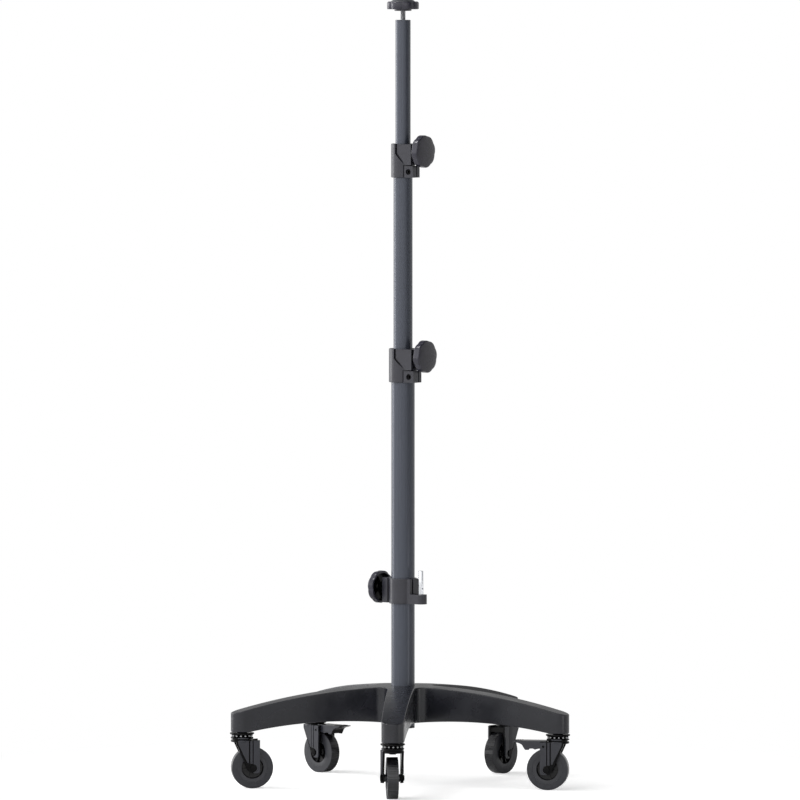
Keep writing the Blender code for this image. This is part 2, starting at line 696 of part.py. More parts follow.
def accessory_collar(bore):
    """Band with the knob's boss along +X, and split ears with the pin's arm the other way."""
    outer = bore + ACCESSORY_WALL
    height = ACCESSORY_HEIGHT
    rim = [(0, 0), (outer - CLAMP_CHAMFER, 0), (outer, CLAMP_CHAMFER), (outer, height - CLAMP_CHAMFER)]
    rim += [(outer - CLAMP_CHAMFER, height), (0, height)]
    collar = to_object(turned(rim, COLLAR_SIDES), "accessory")
    boss_end = outer + ACCESSORY_BOSS_REACH
    half = ACCESSORY_BOSS_HALF_WIDTH
    boss = block(0, boss_end, -half, half, STEP, height - STEP)
    ear_end = outer + ACCESSORY_EAR_REACH
    ears = block(-ear_end, 0, -ACCESSORY_EAR_FAR, ACCESSORY_EAR_NEAR, STEP, height - STEP)
    pin_x = -(outer + ACCESSORY_PIN_REACH)
    arm_half = ACCESSORY_ARM_HALF_WIDTH
    arm_low = ACCESSORY_PIN_OFFSET - arm_half
    arm_high = ACCESSORY_PIN_OFFSET + arm_half
    arm_end = arc((pin_x, ACCESSORY_PIN_OFFSET), arm_half, 90, 270, ACCESSORY_ARM_STEPS)
    arm = prism([(-bore, arm_low), (-bore, arm_high)] + arm_end, STEP * 2, ACCESSORY_ARM_HEIGHT)
    carve(collar, "UNION", [boss, ears, arm])
    bore_cut = turned(rod_profile(bore, -height, height * 2), COLLAR_SIDES)
    slit_low = ACCESSORY_SLIT_OFFSET - ACCESSORY_SLIT_WIDTH / 2
    slit_high = ACCESSORY_SLIT_OFFSET + ACCESSORY_SLIT_WIDTH / 2
    ear_cut = ear_end - STEP
    arm_cut = ear_end + ACCESSORY_SLIT_WIDTH * ACCESSORY_ARM_SLIT_SHARE
    slit_outline = [(-bore / 2, slit_low), (-bore / 2, slit_high), (-arm_cut, slit_high), (-arm_cut, -outer)]
    slit_outline += [(-ear_cut, -outer), (-ear_cut, slit_low)]
    slit = prism(slit_outline, -height, height * 2)
    screw = moved(aimed(turned(rod_profile(SCREW_RADIUS + FIT, 0, boss_end * 2), SMALL_SIDES)),
                  z=height - ACCESSORY_THUMB_DROP)
    pin_hole = rod_profile(PIN_RADIUS + FIT, ACCESSORY_ARM_HEIGHT - PIN_DEPTH - FIT, height)
    pin_hole = moved(turned(pin_hole, SMALL_SIDES), pin_x, ACCESSORY_PIN_OFFSET)
    carve(collar, "DIFFERENCE", [bore_cut, slit, screw, pin_hole])
    return collar


def build_accessory(materials, mast):
    liner_outer = LOWER_TUBE_RADIUS + FIT + ACCESSORY_LINER_WALL
    bore = liner_outer + FIT
    outer = bore + ACCESSORY_WALL
    frame = axis_empty("accessory_frame", (0, 0, ACCESSORY_Z), (0, 0, ACCESSORY_KNOB_ANGLE), mast)
    finish(accessory_collar(bore), "accessory_collar", materials["clamp"], frame)
    sleeve = ring_profile(liner_outer, LOWER_TUBE_RADIUS + FIT, 0, ACCESSORY_HEIGHT)
    liner = to_object(turned(sleeve, COLLAR_SIDES), "liner")
    finish(liner, "accessory_liner", materials["nylon"], frame)
    knob_place = (0, 0, ACCESSORY_HEIGHT - ACCESSORY_THUMB_DROP)
    axis = axis_empty("accessory_knob_axis", knob_place, (0, math.pi / 2, 0), frame)
    seat = outer + ACCESSORY_BOSS_REACH + FIT
    build_thumb_screw("accessory", liner_outer + FIT, seat, materials, axis)

    low = ACCESSORY_ARM_HEIGHT - PIN_DEPTH
    high = PIN_TOP_Z - ACCESSORY_Z
    profile = [(0, low), (PIN_RADIUS, low), (PIN_RADIUS, high - PIN_CHAMFER)]
    profile += [(PIN_RADIUS - PIN_CHAMFER, high), (0, high)]
    pin = to_object(turned(profile, SMALL_SIDES), "pin")
    hole = turned(rod_profile(PIN_HOLE_RADIUS, -PIN_RADIUS * 2, PIN_RADIUS * 2), BOLT_SIDES)
    carve(pin, "DIFFERENCE", [moved(aimed(hole), z=PIN_HOLE_Z - ACCESSORY_Z)])
    place = (-(outer + ACCESSORY_PIN_REACH), ACCESSORY_PIN_OFFSET, 0)
    finish(pin, "accessory_pin", materials["chrome"], frame, place)


def build_top(materials, mast):
    top = axis_empty("top_frame", (0, 0, UPPER_TUBE_TOP_Z), parent=mast)
    plug_radius = UPPER_TUBE_RADIUS - UPPER_TUBE_WALL - FIT
    plug = ring_profile(plug_radius, STUD_RADIUS + FIT, -PLUG_DEPTH, 0)
    finish(to_object(turned(plug, TUBE_SIDES), "plug"), "top_plug", materials["steel"], top)
    stud_end = TOP_KNOB_Z + SCREW_DEPTH_IN_KNOB
    stud = rod_profile(STUD_RADIUS, -PLUG_DEPTH, stud_end)
    finish(to_object(turned(stud, SMALL_SIDES), "stud"), "top_stud", materials["steel"], top)

    rim_inner = KNOB_RADIUS - KNOB_RIM
    face = TOP_KNOB_HUB + KNOB_THICKNESS
    ceiling = TOP_KNOB_HUB + KNOB_RECESS / 2
    lid = face - TOP_KNOB_LID_DROP
    bore = STUD_RADIUS + FIT
    bore_end = SCREW_DEPTH_IN_KNOB + FIT
    collar = TOP_KNOB_COLLAR_RADIUS
    profile = [(0, bore_end), (bore, bore_end), (bore, 0), (collar - TOP_KNOB_COLLAR_CHAMFER, 0)]
    profile += [(collar, TOP_KNOB_COLLAR_CHAMFER), (collar, ceiling), (rim_inner, ceiling)]
    profile += [(rim_inner, TOP_KNOB_HUB)]
    profile += knob_edge(TOP_KNOB_HUB, face)
    profile += [(CAP_RADIUS + FIT, lid), (CAP_RADIUS + FIT, lid - CAP_SEAT), (0, lid - CAP_SEAT)]
    bm = turned(profile, KNOB_SIDES)
    wave_rim(bm, rim_inner)
    finish(to_object(bm, "knob"), "top_knob", materials["knob"], top, (0, 0, TOP_KNOB_Z))
    seat = lid - CAP_SEAT + FIT
    brim = seat + CAP_SEAT
    dome = [(0, seat), (CAP_RADIUS, seat), (CAP_RADIUS, brim)]
    dome += [(CAP_RADIUS * width, brim + CAP_RISE * rise) for width, rise in (CAP_SHOULDER, CAP_BROW, (0, 1))]
    cap = to_object(turned(dome, KNOB_SIDES), "cap")
    finish(cap, "top_knob_cap", materials["cap"], top, (0, 0, TOP_KNOB_Z))


def castor_stem():
    """Stem, neck, upper race and king pin with its riveted head, in one turned piece."""
    neck_top = TIP_BOSS_Z - FIT
    stem_top = TIP_BOSS_Z + STEM_LENGTH
    head_top = CROWN_Z - FIT
    head_low = head_top - KING_PIN_HEAD_HEIGHT
    race_mid = (UPPER_RACE_Z + UPPER_RACE_TOP_Z) / 2
    race_flat = UPPER_RACE_RADIUS - UPPER_RACE_BEVEL
    profile = [(0, stem_top), (STEM_RADIUS - STEM_CHAMFER, stem_top), (STEM_RADIUS, stem_top - STEM_CHAMFER)]
    profile += [(STEM_RADIUS, neck_top), (STEM_NECK_RADIUS, neck_top)]
    profile += [(STEM_NECK_RADIUS, UPPER_RACE_TOP_Z)]
    profile += [(race_flat, UPPER_RACE_TOP_Z), (UPPER_RACE_RADIUS, race_mid), (race_flat, UPPER_RACE_Z)]
    profile += [(KING_PIN_RADIUS, UPPER_RACE_Z), (KING_PIN_RADIUS, head_top)]
    profile += [(KING_PIN_HEAD_RADIUS, head_top)]
    profile += [(KING_PIN_HEAD_RADIUS - STEM_CHAMFER, head_low), (0, head_low)]
    return to_object(turned(profile, SMALL_SIDES), "stem")


def castor_fork(braked):
    """Lower race, crown and two ribbed legs, trailing along +X."""
    bore = KING_PIN_RADIUS + FIT
    race_top = UPPER_RACE_Z - FIT
    race_flat = LOWER_RACE_RADIUS - LOWER_RACE_BEVEL
    profile = [(bore, CROWN_Z), (CROWN_RADIUS, CROWN_Z), (CROWN_RADIUS, LOWER_RACE_Z - CROWN_SHOULDER)]
    profile += [(race_flat, LOWER_RACE_Z), (LOWER_RACE_RADIUS, LOWER_RACE_Z + LOWER_RACE_BEVEL)]
    profile += [(LOWER_RACE_RADIUS, race_top - LOWER_RACE_BEVEL), (race_flat, race_top), (bore, race_top)]
    fork = to_object(turned(profile, SMALL_SIDES), "fork")
    leg_back = TRAIL + LEG_BACK
    rib_low = TRAIL - NARROW_RIB_OFFSET
    outline = [(leg_back, LEG_TOP_Z), (LEG_FRONT_X, LEG_TOP_Z), (LEG_FRONT_X, LEG_SHOULDER_Z), LEG_KNEE]
    outline += arc((TRAIL, WHEEL_RADIUS), LEG_END_RADIUS, LEG_END_START, 270, LEG_END_STEPS)
    corner = (leg_back - LEG_CORNER, WHEEL_RADIUS - LEG_END_RADIUS + LEG_CORNER)
    outline += arc(corner, LEG_CORNER, 270, 360, LEG_CORNER_STEPS)
    leg_outer = LEG_INNER + LEG_THICKNESS
    legs = []
    ribs = []
    for side in (1, -1):
        legs.append(side_prism(outline, *sorted((side * LEG_INNER, side * leg_outer))))
        for low, high in ((leg_back - STRIP_WIDTH, leg_back), (rib_low, rib_low + NARROW_RIB_WIDTH)):
            span = sorted((side * (leg_outer - FIT), side * (leg_outer + STRIP_HEIGHT)))
            ribs.append(block(low, high, *span, STRIP_BOTTOM_Z, LEG_TOP_Z - STRIP_TOP_DROP))
    carve(fork, "UNION", legs + ribs)
    axle = turned(rod_profile(AXLE_RADIUS + FIT, -THROUGH, THROUGH), BOLT_SIDES)
    holes = [moved(across(axle), TRAIL, 0, WHEEL_RADIUS)]
    if braked:
        pin = turned(rod_profile(PEDAL_PIN_RADIUS + FIT, -THROUGH, THROUGH), BOLT_SIDES)
        holes.append(moved(across(pin), PEDAL_PIVOT_X, 0, PEDAL_PIVOT_Z))
    carve(fork, "DIFFERENCE", holes)
    return fork


def axle_bolt():
    """Bolt with a hexagon head and nut outside the legs, along Z."""
    seat = LEG_INNER + LEG_THICKNESS + FIT
    out = seat + AXLE_HEAD_HEIGHT
    bolt = to_object(turned(rod_profile(AXLE_RADIUS, -out + FIT, out - FIT), BOLT_SIDES), "axle")
    ends = ((seat, out), (-out, -seat))
    return carve(bolt, "UNION", [turned(rod_profile(AXLE_HEAD_RADIUS, *span), HEXAGON) for span in ends])


def wheel_core():
    """Wheel centre with its recessed web and long hub, turned round Z."""
    rim_outer = TYRE_INNER_RADIUS - FIT
    rim = WHEEL_HALF_WIDTH - CORE_INSET
    bore = AXLE_RADIUS + FIT
    half = [(rim_outer, rim), (RECESS_RADIUS, rim), (RECESS_RADIUS - RECESS_TAPER, WEB_HALF_THICKNESS)]
    half += [(HUB_RADIUS, WEB_HALF_THICKNESS), (HUB_RADIUS, HUB_HALF_LENGTH), (bore, HUB_HALF_LENGTH)]
    profile = half + [(radius, -height) for radius, height in reversed(half)]
    return to_object(turned(profile, WHEEL_SIDES, flat_down=True), "core")


def tyre_ring():
    """Tyre with rounded shoulders, a flat of its facets down, turned round Z."""
    outer = WHEEL_RADIUS / math.cos(math.pi / WHEEL_SIDES)
    half = WHEEL_HALF_WIDTH
    ease = TYRE_ROUND * TYRE_ROUND_SHARE
    upper = [(outer, half - TYRE_ROUND), (outer - ease, half - ease)]
    upper += [(outer - TYRE_ROUND, half), (TYRE_INNER_RADIUS, half)]
    profile = upper + [(radius, -height) for radius, height in reversed(upper)]
    return to_object(turned(profile, WHEEL_SIDES, flat_down=True), "tyre")


def pressed_back(point):
    """Where a point of the pressed pedal lies when the pedal is released."""
    out_x = point[0] - PEDAL_PIVOT_X
    out_z = point[1] - PEDAL_PIVOT_Z
    cosine = math.cos(PEDAL_PRESS)
    sine = math.sin(PEDAL_PRESS)
    return (PEDAL_PIVOT_X + out_x * cosine - out_z * sine, PEDAL_PIVOT_Z + out_x * sine + out_z * cosine)


def brake_pedal():
    """Pedal with pivot barrel, brake pad and hooked underside, its pivot at the origin."""
    pad_radius = WHEEL_RADIUS + PAD_GAP
    pad = [pressed_back(point) for point in arc((TRAIL, WHEEL_RADIUS), pad_radius, *PAD_ARC, 1)]
    pivot = (PEDAL_PIVOT_X, PEDAL_PIVOT_Z)
    outline = [(PEDAL_LENGTH, PEDAL_TOP_Z), (PEDAL_FRONT_X, PEDAL_TOP_Z)]
    outline += [(PEDAL_FRONT_X, PEDAL_PIVOT_Z + PEDAL_FRONT_RISE)]
    outline += arc(pivot, PEDAL_BARREL_RADIUS, 180, 270, PEDAL_BARREL_STEPS) + pad
    outline += [*PEDAL_SHELF, *PEDAL_HOOK, *PEDAL_SWEEP, (PEDAL_LENGTH, PEDAL_TOP_Z - PEDAL_TIP_THICKNESS)]
    pedal = to_object(side_prism(outline, -PEDAL_HALF_WIDTH, PEDAL_HALF_WIDTH), "pedal")
    inner = PEDAL_HALF_WIDTH - PEDAL_CHEEK
    channel = block(*PEDAL_CHANNEL_X, -inner, inner, PEDAL_CHANNEL_Z, PEDAL_TOP_Z - PEDAL_TOP_PLATE)
    hole = turned(rod_profile(PEDAL_PIN_RADIUS + FIT, -THROUGH, THROUGH), BOLT_SIDES)
    hole = moved(across(hole), PEDAL_PIVOT_X, 0, PEDAL_PIVOT_Z)
    carve(pedal, "DIFFERENCE", [channel, hole])
    pedal.data.transform(Matrix.Translation((-PEDAL_PIVOT_X, 0, -PEDAL_PIVOT_Z)))
    return pedal


def build_castor(name, arm_angle, trail_angle, materials, mast):
    place = (SWIVEL_RADIUS * math.cos(arm_angle), SWIVEL_RADIUS * math.sin(arm_angle), 0)
    label = "castor_" + name
    swivel = axis_empty(label + "_swivel", place, (0, 0, trail_angle), mast)
    finish(castor_stem(), label + "_stem", materials["black_steel"], swivel)
    braked = name in BRAKED
    finish(castor_fork(braked), label + "_fork", materials["black_steel"], swivel)
    axle = axis_empty(label + "_axle_centre", (TRAIL, 0, WHEEL_RADIUS), (math.pi / 2, 0, 0), swivel)
    finish(axle_bolt(), label + "_axle", materials["black_steel"], axle)
    finish(wheel_core(), label + "_wheel_core", materials["wheel"], axle)
    finish(tyre_ring(), label + "_tyre", materials["tyre"], axle)
    if braked:
        pivot = (PEDAL_PIVOT_X, 0, PEDAL_PIVOT_Z)
        finish(brake_pedal(), label + "_brake_pedal", materials["black_steel"], swivel, pivot)
        reach = LEG_INNER + LEG_THICKNESS + STRIP_HEIGHT - FIT
        pin = to_object(across(turned(rod_profile(PEDAL_PIN_RADIUS, -reach, reach), BOLT_SIDES)), "pin")
        finish(pin, label + "_brake_pin", materials["steel"], swivel, pivot)


def build():
    clear_scene()
    materials = {
        "cast": make_material("cast_base_paint", (0.035, 0.036, 0.040), 0.45),
        "tube": make_material("tube_paint", (0.082, 0.088, 0.105), 0.42),
        "clamp": make_material("clamp_plastic", (0.075, 0.076, 0.083), 0.50),
        "knob": make_material("knob_plastic", (0.022, 0.022, 0.024), 0.45),
        "cap": make_material("knob_cap_plastic", (0.10, 0.10, 0.11), 0.40),
        "nylon": make_material("bush_nylon", (0.020, 0.020, 0.022), 0.55),
        "steel": make_material("screw_steel", (0.45, 0.45, 0.46), 0.30, 1.0),
        "chrome": make_material("pin_chrome", (0.80, 0.80, 0.82), 0.08, 1.0),
        "black_steel": make_material("castor_black_steel", (0.010, 0.010, 0.011), 0.25),
        "wheel": make_material("wheel_plastic", (0.050, 0.050, 0.055), 0.50),
        "tyre": make_material("tyre_rubber", (0.045, 0.045, 0.050), 0.40),
    }
    mast = axis_empty("mast_axis", (0, MAST_Y, 0))
    build_base(materials, mast)
    build_mast(materials, mast)
    build_clamp("lower_clamp", LOWER_TUBE_RADIUS, MIDDLE_TUBE_RADIUS, LOWER_CLAMP_Z, materials, mast)
    build_clamp("upper_clamp", MIDDLE_TUBE_RADIUS, UPPER_TUBE_RADIUS, UPPER_CLAMP_Z, materials, mast)
    build_accessory(materials, mast)
    build_top(materials, mast)
    for index, (name, trail) in enumerate(CASTOR_TRAILS.items()):
        arm_angle = -math.pi / 2 + 2 * math.pi * index / ARM_COUNT
        build_castor(name, arm_angle, math.radians(trail), materials, mast)


build()
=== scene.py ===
import json
import math

import bmesh
import bpy
from mathutils import Matrix, Vector


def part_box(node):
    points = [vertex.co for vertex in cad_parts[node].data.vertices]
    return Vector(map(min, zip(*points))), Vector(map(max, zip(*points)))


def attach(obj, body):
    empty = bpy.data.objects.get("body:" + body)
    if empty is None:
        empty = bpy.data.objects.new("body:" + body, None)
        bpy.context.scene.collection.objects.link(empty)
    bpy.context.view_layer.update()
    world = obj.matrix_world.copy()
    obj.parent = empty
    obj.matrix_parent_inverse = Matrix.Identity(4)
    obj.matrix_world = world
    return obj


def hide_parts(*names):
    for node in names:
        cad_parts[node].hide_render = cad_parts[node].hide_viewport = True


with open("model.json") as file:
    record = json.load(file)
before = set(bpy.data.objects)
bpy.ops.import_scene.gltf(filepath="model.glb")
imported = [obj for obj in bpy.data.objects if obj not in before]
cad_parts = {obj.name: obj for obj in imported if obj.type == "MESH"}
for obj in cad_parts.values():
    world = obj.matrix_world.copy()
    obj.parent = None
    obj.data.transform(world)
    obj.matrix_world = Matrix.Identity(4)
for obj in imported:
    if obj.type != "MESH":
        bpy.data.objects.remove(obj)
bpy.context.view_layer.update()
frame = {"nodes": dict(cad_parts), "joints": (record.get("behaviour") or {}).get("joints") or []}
joints = {joint["name"]: joint for joint in frame["joints"]}
print("frame loaded")

fitGap = 0.0003    # air between two pieces of which one goes into the other, metres


def nodeBox(name):
    low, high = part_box(name)
    return Vector(low), Vector(high)


def placeAlong(origin, xWay, zWay=(0, 0, 1)):
    # a local frame in world space: X along xWay, Z as near zWay as it goes
    x = Vector(xWay).normalized()
    y = Vector(zWay).cross(x).normalized()
    z = x.cross(y)
    return Matrix.Translation(Vector(origin)) @ Matrix((x, y, z)).transposed().to_4x4()


def newPiece(name, mesh, place=None):
    # welds the points and turns the faces outwards; the mesh keeps its own local frame
    bmesh.ops.remove_doubles(mesh, verts=mesh.verts, dist=0.000005)
    bmesh.ops.recalc_face_normals(mesh, faces=mesh.faces)
    data = bpy.data.meshes.new(name)
    mesh.to_mesh(data)
    mesh.free()
    piece = bpy.data.objects.new(name, data)
    bpy.context.scene.collection.objects.link(piece)
    if place is not None:
        piece.matrix_world = place
    return piece


def spun(profile, sides=96, wave=None):
    # closed solid of (radius, height) points turned round Z; wave(angle, radius, height) reshapes it
    mesh = bmesh.new()
    rings = []
    for radius, height in profile:
        if radius == 0:
            rings.append([mesh.verts.new((0, 0, height))])
            continue
        ring = []
        for side in range(sides):
            angle = 2 * math.pi * side / sides
            reach = wave(angle, radius, height) if wave else radius
            ring.append(mesh.verts.new((reach * math.cos(angle), reach * math.sin(angle), height)))
        rings.append(ring)
    pairs = list(zip(rings, rings[1:]))
    if len(rings[0]) > 1:
        pairs.append((rings[-1], rings[0]))
    for first, second in pairs:
        for side in range(sides):
            after = (side + 1) % sides
            corners = [first[side % len(first)], first[after % len(first)],
                       second[after % len(second)], second[side % len(second)]]
            corners = list(dict.fromkeys(corners))
            if len(corners) > 2:
                mesh.faces.new(corners)
    return mesh


def rod(radius, low, high, edge=0.0):
    # profile of a round bar with eased ends
    if edge == 0:
        return [(0, low), (radius, low), (radius, high), (0, high)]
    return ([(0, low)] + rounded((radius - edge, low + edge), edge, -90, 0)
            + rounded((radius - edge, high - edge), edge, 0, 90) + [(0, high)])


def rounded(centre, radius, start, end, steps=4):
    # points of an arc, angles in degrees
    points = []
    for step in range(steps + 1):
        angle = math.radians(start + (end - start) * step / steps)
        points.append((centre[0] + radius * math.cos(angle), centre[1] + radius * math.sin(angle)))
    return points


def barAlong(axis, radius, low, high, sides, edge=0.0):
    # round bar along X or Y
    return turnedBy(spun(rod(radius, low, high, edge), sides), *{"X": (90, "Y"), "Y": (-90, "X")}[axis])


def slab(outline, low, high):
    # solid of an (x, y) outline between two heights
    mesh = bmesh.new()
    bottom = [mesh.verts.new((x, y, low)) for x, y in outline]
    top = [mesh.verts.new((x, y, high)) for x, y in outline]
    mesh.faces.new(bottom)
    mesh.faces.new(top)
    for index in range(len(outline)):
        after = (index + 1) % len(outline)
        mesh.faces.new([bottom[index], bottom[after], top[after], top[index]])
    return mesh


def brick(xLow, xHigh, yLow, yHigh, zLow, zHigh):
    return slab([(xLow, yLow), (xHigh, yLow), (xHigh, yHigh), (xLow, yHigh)], zLow, zHigh)


def sideSlab(outline, yLow, yHigh):
    # solid of an (x, z) outline between two places along Y
    return turnedBy(slab(outline, -yHigh, -yLow), 90, "X")


def turnedBy(mesh, degrees, axis):
    bmesh.ops.transform(mesh, matrix=Matrix.Rotation(math.radians(degrees), 4, axis), verts=mesh.verts)
    return mesh


def shifted(mesh, x=0.0, y=0.0, z=0.0):
    bmesh.ops.translate(mesh, vec=(x, y, z), verts=mesh.verts)
    return mesh


def bake(piece):
    # applies the modifiers on the piece, so that what rides on the frame is plain mesh
    view = bpy.context.evaluated_depsgraph_get()
    view.update()
    data = bpy.data.meshes.new_from_object(piece.evaluated_get(view))
    piece.modifiers.clear()
    piece.data = data


def welded(piece, distance=0.000002):
    # closes the hairline gaps that a cut can leave between its new points
    mesh = bmesh.new()
    mesh.from_mesh(piece.data)
    bmesh.ops.remove_doubles(mesh, verts=mesh.verts, dist=distance)
    bmesh.ops.dissolve_degenerate(mesh, edges=mesh.edges, dist=distance)
    mesh.to_mesh(piece.data)
    mesh.free()


def mergedWith(piece, operation, tool):
    # both share a frame; the work is done at the origin, where the points keep their last digits
    place = piece.matrix_world.copy()
    piece.matrix_world = tool.matrix_world = Matrix.Identity(4)
    change = piece.modifiers.new(operation, "BOOLEAN")
    change.operation = operation
    change.solver = "EXACT"
    change.object = tool
    bpy.context.view_layer.update()
    bake(piece)
    welded(piece)
    bpy.data.objects.remove(tool, do_unlink=True)
    piece.matrix_world = place
    bpy.context.view_layer.update()


def merged(piece, operation, solids):
    # joins or cuts the solids, one at a time
    for solid in solids:
        mergedWith(piece, operation, newPiece("tool", solid))
    return piece


def eased(piece, width, segments=2, angle=35):
    # rounds the edges that are sharper than the angle, as a mould or a casting leaves them
    edge = piece.modifiers.new("easedEdges", "BEVEL")
    edge.width = width
    edge.segments = segments
    edge.limit_method = "ANGLE"
    edge.angle_limit = math.radians(angle)
    edge.harden_normals = False
    bake(piece)


def smoothed(piece, angle=32):
    piece.data.shade_smooth()
    piece.data.set_sharp_from_angle(angle=math.radians(angle))
    return piece


def sealed(piece):
    # closes the small three- or four-sided gaps that eased corners can leave
    mesh = bmesh.new()
    mesh.from_mesh(piece.data)
    bmesh.ops.holes_fill(mesh, edges=[edge for edge in mesh.edges if edge.is_boundary], sides=4)
    mesh.to_mesh(piece.data)
    mesh.free()


def crisp(piece, angle=32):
    # smooth shading that follows the large faces, so that eased edges stay narrow and bright
    sealed(piece)
    smoothed(piece, angle)
    weighting = piece.modifiers.new("largeFacesFirst", "WEIGHTED_NORMAL")
    weighting.keep_sharp = True
    bake(piece)


def dressed(piece, material, slotName, body, *nodes):
    # finish, record slot (not used), riding body and the CAD nodes that the piece stands for
    piece.data.materials.clear()
    piece.data.materials.append(material)
    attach(piece, body)
    if nodes:
        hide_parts(*nodes)


def toLinear(hexColour):
    # sRGB hex to the linear colour that the shaders take
    channels = [int(hexColour[at:at + 2], 16) / 255 for at in (1, 3, 5)]
    return tuple(c / 12.92 if c <= 0.04045 else ((c + 0.055) / 1.055) ** 2.4 for c in channels) + (1.0,)


def addNode(tree, kind, settings=None, links=None):
    # settings name an input, an input's number or a property; links give an input its source
    node = tree.nodes.new(kind)
    for key, value in (settings or {}).items():
        if key == "stops":
            for index, (place, colour) in enumerate(value):
                stop = node.color_ramp.elements[index] if index < 2 else node.color_ramp.elements.new(place)
                stop.position = place
                stop.color = colour
        elif isinstance(key, int) or key in node.inputs:
            node.inputs[key].default_value = value
        else:
            setattr(node, key, value)
    for key, source in (links or {}).items():
        tree.links.new(source, node.inputs[key])
    return node


def newFinish(name, colour, roughness, metallic=0.0, ior=None):
    # a Principled surface with its plain values on the shader's own sockets
    material = bpy.data.materials.new(name)
    material.use_nodes = True
    tree = material.node_tree
    shader = tree.nodes["Principled BSDF"]
    shader.inputs["Base Color"].default_value = toLinear(colour)
    shader.inputs["Roughness"].default_value = roughness
    shader.inputs["Metallic"].default_value = metallic
    if ior:
        shader.inputs["IOR"].default_value = ior
    where = addNode(tree, "ShaderNodeTexCoord").outputs["Object"]
    return material, tree, shader, where


def join(tree, shader, tint=None, rough=None, bump=None):
    # the last nodes of a finish go into its surface
    for node, output, socket in ((tint, "Color", "Base Color"), (rough, "Result", "Roughness"),
                                 (bump, "Normal", "Normal")):
        if node:
            tree.links.new(node.outputs[output], shader.inputs[socket])


def perMetre(millimetres):
    # a texture's scale from the real size of what it draws
    return 1000.0 / millimetres


powderCoat = {"colour": "#16171D", "lighter": "#1C1D24", "roughness": 0.25, "glossier": 0.05, "duller": 0.07,
              "peelMm": 2.6, "peelDepth": 0.000004, "cloudMm": 45.0}


def makePowderCoat():
    # polyester powder coat on cast aluminium: satin, a faint orange peel that breaks up highlights
    v = powderCoat
    material, tree, shader, where = newFinish("powderCoatOnCastAluminium", v["colour"], v["roughness"], ior=1.5)
    cloud = addNode(tree, "ShaderNodeTexNoise", {"Scale": perMetre(v["cloudMm"]), "Detail": 3.0}, {"Vector": where})
    tint = addNode(tree, "ShaderNodeValToRGB",
                   {"stops": [(0.35, toLinear(v["colour"])), (0.75, toLinear(v["lighter"]))]},
                   {"Fac": cloud.outputs["Fac"]})
    # the peel of a real coat is near 1 mm across; it's drawn wider so that it shows at this size
    peel = addNode(tree, "ShaderNodeTexNoise", {"Scale": perMetre(v["peelMm"]), "Detail": 2.0}, {"Vector": where})
    rough = addNode(tree, "ShaderNodeMapRange",
                    {"From Min": 0.3, "From Max": 0.7, "To Min": v["roughness"] - v["glossier"],
                     "To Max": v["roughness"] + v["duller"]}, {"Value": cloud.outputs["Fac"]})
    bump = addNode(tree, "ShaderNodeBump", {"Strength": 0.5, "Distance": v["peelDepth"]},
                   {"Height": peel.outputs["Fac"]})
    join(tree, shader, tint, rough, bump)
    return material


tubeLacquer = {"colour": "#424650", "lighter": "#454953", "metallic": 0.25, "roughness": 0.26, "roughBy": 0.02,
               "streakMm": 2.6, "streakLengthMm": 400.0, "streakDepth": 0.000004}


def makeTubeLacquer():
    # metallic grey lacquer on drawn steel tube: satin, with faint draw lines along the tube
    v = tubeLacquer
    material, tree, shader, where = newFinish("metallicLacquerOnDrawnTube", v["colour"], v["roughness"],
                                              v["metallic"], 1.5)
    # a real draw line is under 1 mm wide; it's drawn wider so that it shows
    across, along = perMetre(v["streakMm"]), perMetre(v["streakLengthMm"])
    stretch = addNode(tree, "ShaderNodeMapping", {"Scale": (across, across, along)}, {"Vector": where})
    streak = addNode(tree, "ShaderNodeTexNoise", {"Scale": 1.0, "Detail": 2.0},
                     {"Vector": stretch.outputs["Vector"]})
    tint = addNode(tree, "ShaderNodeValToRGB",
                   {"stops": [(0.3, toLinear(v["colour"])), (0.8, toLinear(v["lighter"]))]},
                   {"Fac": streak.outputs["Fac"]})
    rough = addNode(tree, "ShaderNodeMapRange",
                    {"From Min": 0.3, "From Max": 0.7, "To Min": v["roughness"] - v["roughBy"],
                     "To Max": v["roughness"] + v["roughBy"]}, {"Value": streak.outputs["Fac"]})
    bump = addNode(tree, "ShaderNodeBump", {"Strength": 0.2, "Distance": v["streakDepth"]},
                   {"Height": streak.outputs["Fac"]})
    join(tree, shader, tint, rough, bump)
    return material


def makeMoulded(name, colour, lighter, roughness, grainMm, grainDepth, ior):
    # the shared build of the moulded plastics: spark-eroded grain from the mould, and slight flow clouds
    material, tree, shader, where = newFinish(name, colour, roughness, ior=ior)
    flow = addNode(tree, "ShaderNodeTexNoise", {"Scale": perMetre(grainMm * 12), "Detail": 3.0}, {"Vector": where})
    tint = addNode(tree, "ShaderNodeValToRGB", {"stops": [(0.35, toLinear(colour)), (0.75, toLinear(lighter))]},
                   {"Fac": flow.outputs["Fac"]})
    grain = addNode(tree, "ShaderNodeTexVoronoi", {"Scale": perMetre(grainMm), "Randomness": 1.0}, {"Vector": where})
    bump = addNode(tree, "ShaderNodeBump", {"Strength": 0.6, "Distance": grainDepth},
                   {"Height": grain.outputs["Distance"]})
    join(tree, shader, tint, None, bump)
    return material


# painted shade in the hollow back of the thumb knobs: near black with weak reflections; metres along and round their
# own axis
knobHollowPaintedShade = {"colour": "#060607", "specular": 0.15, "rimInner": 0.0250, "ceiling": 0.0153, "blend": 0.0003}


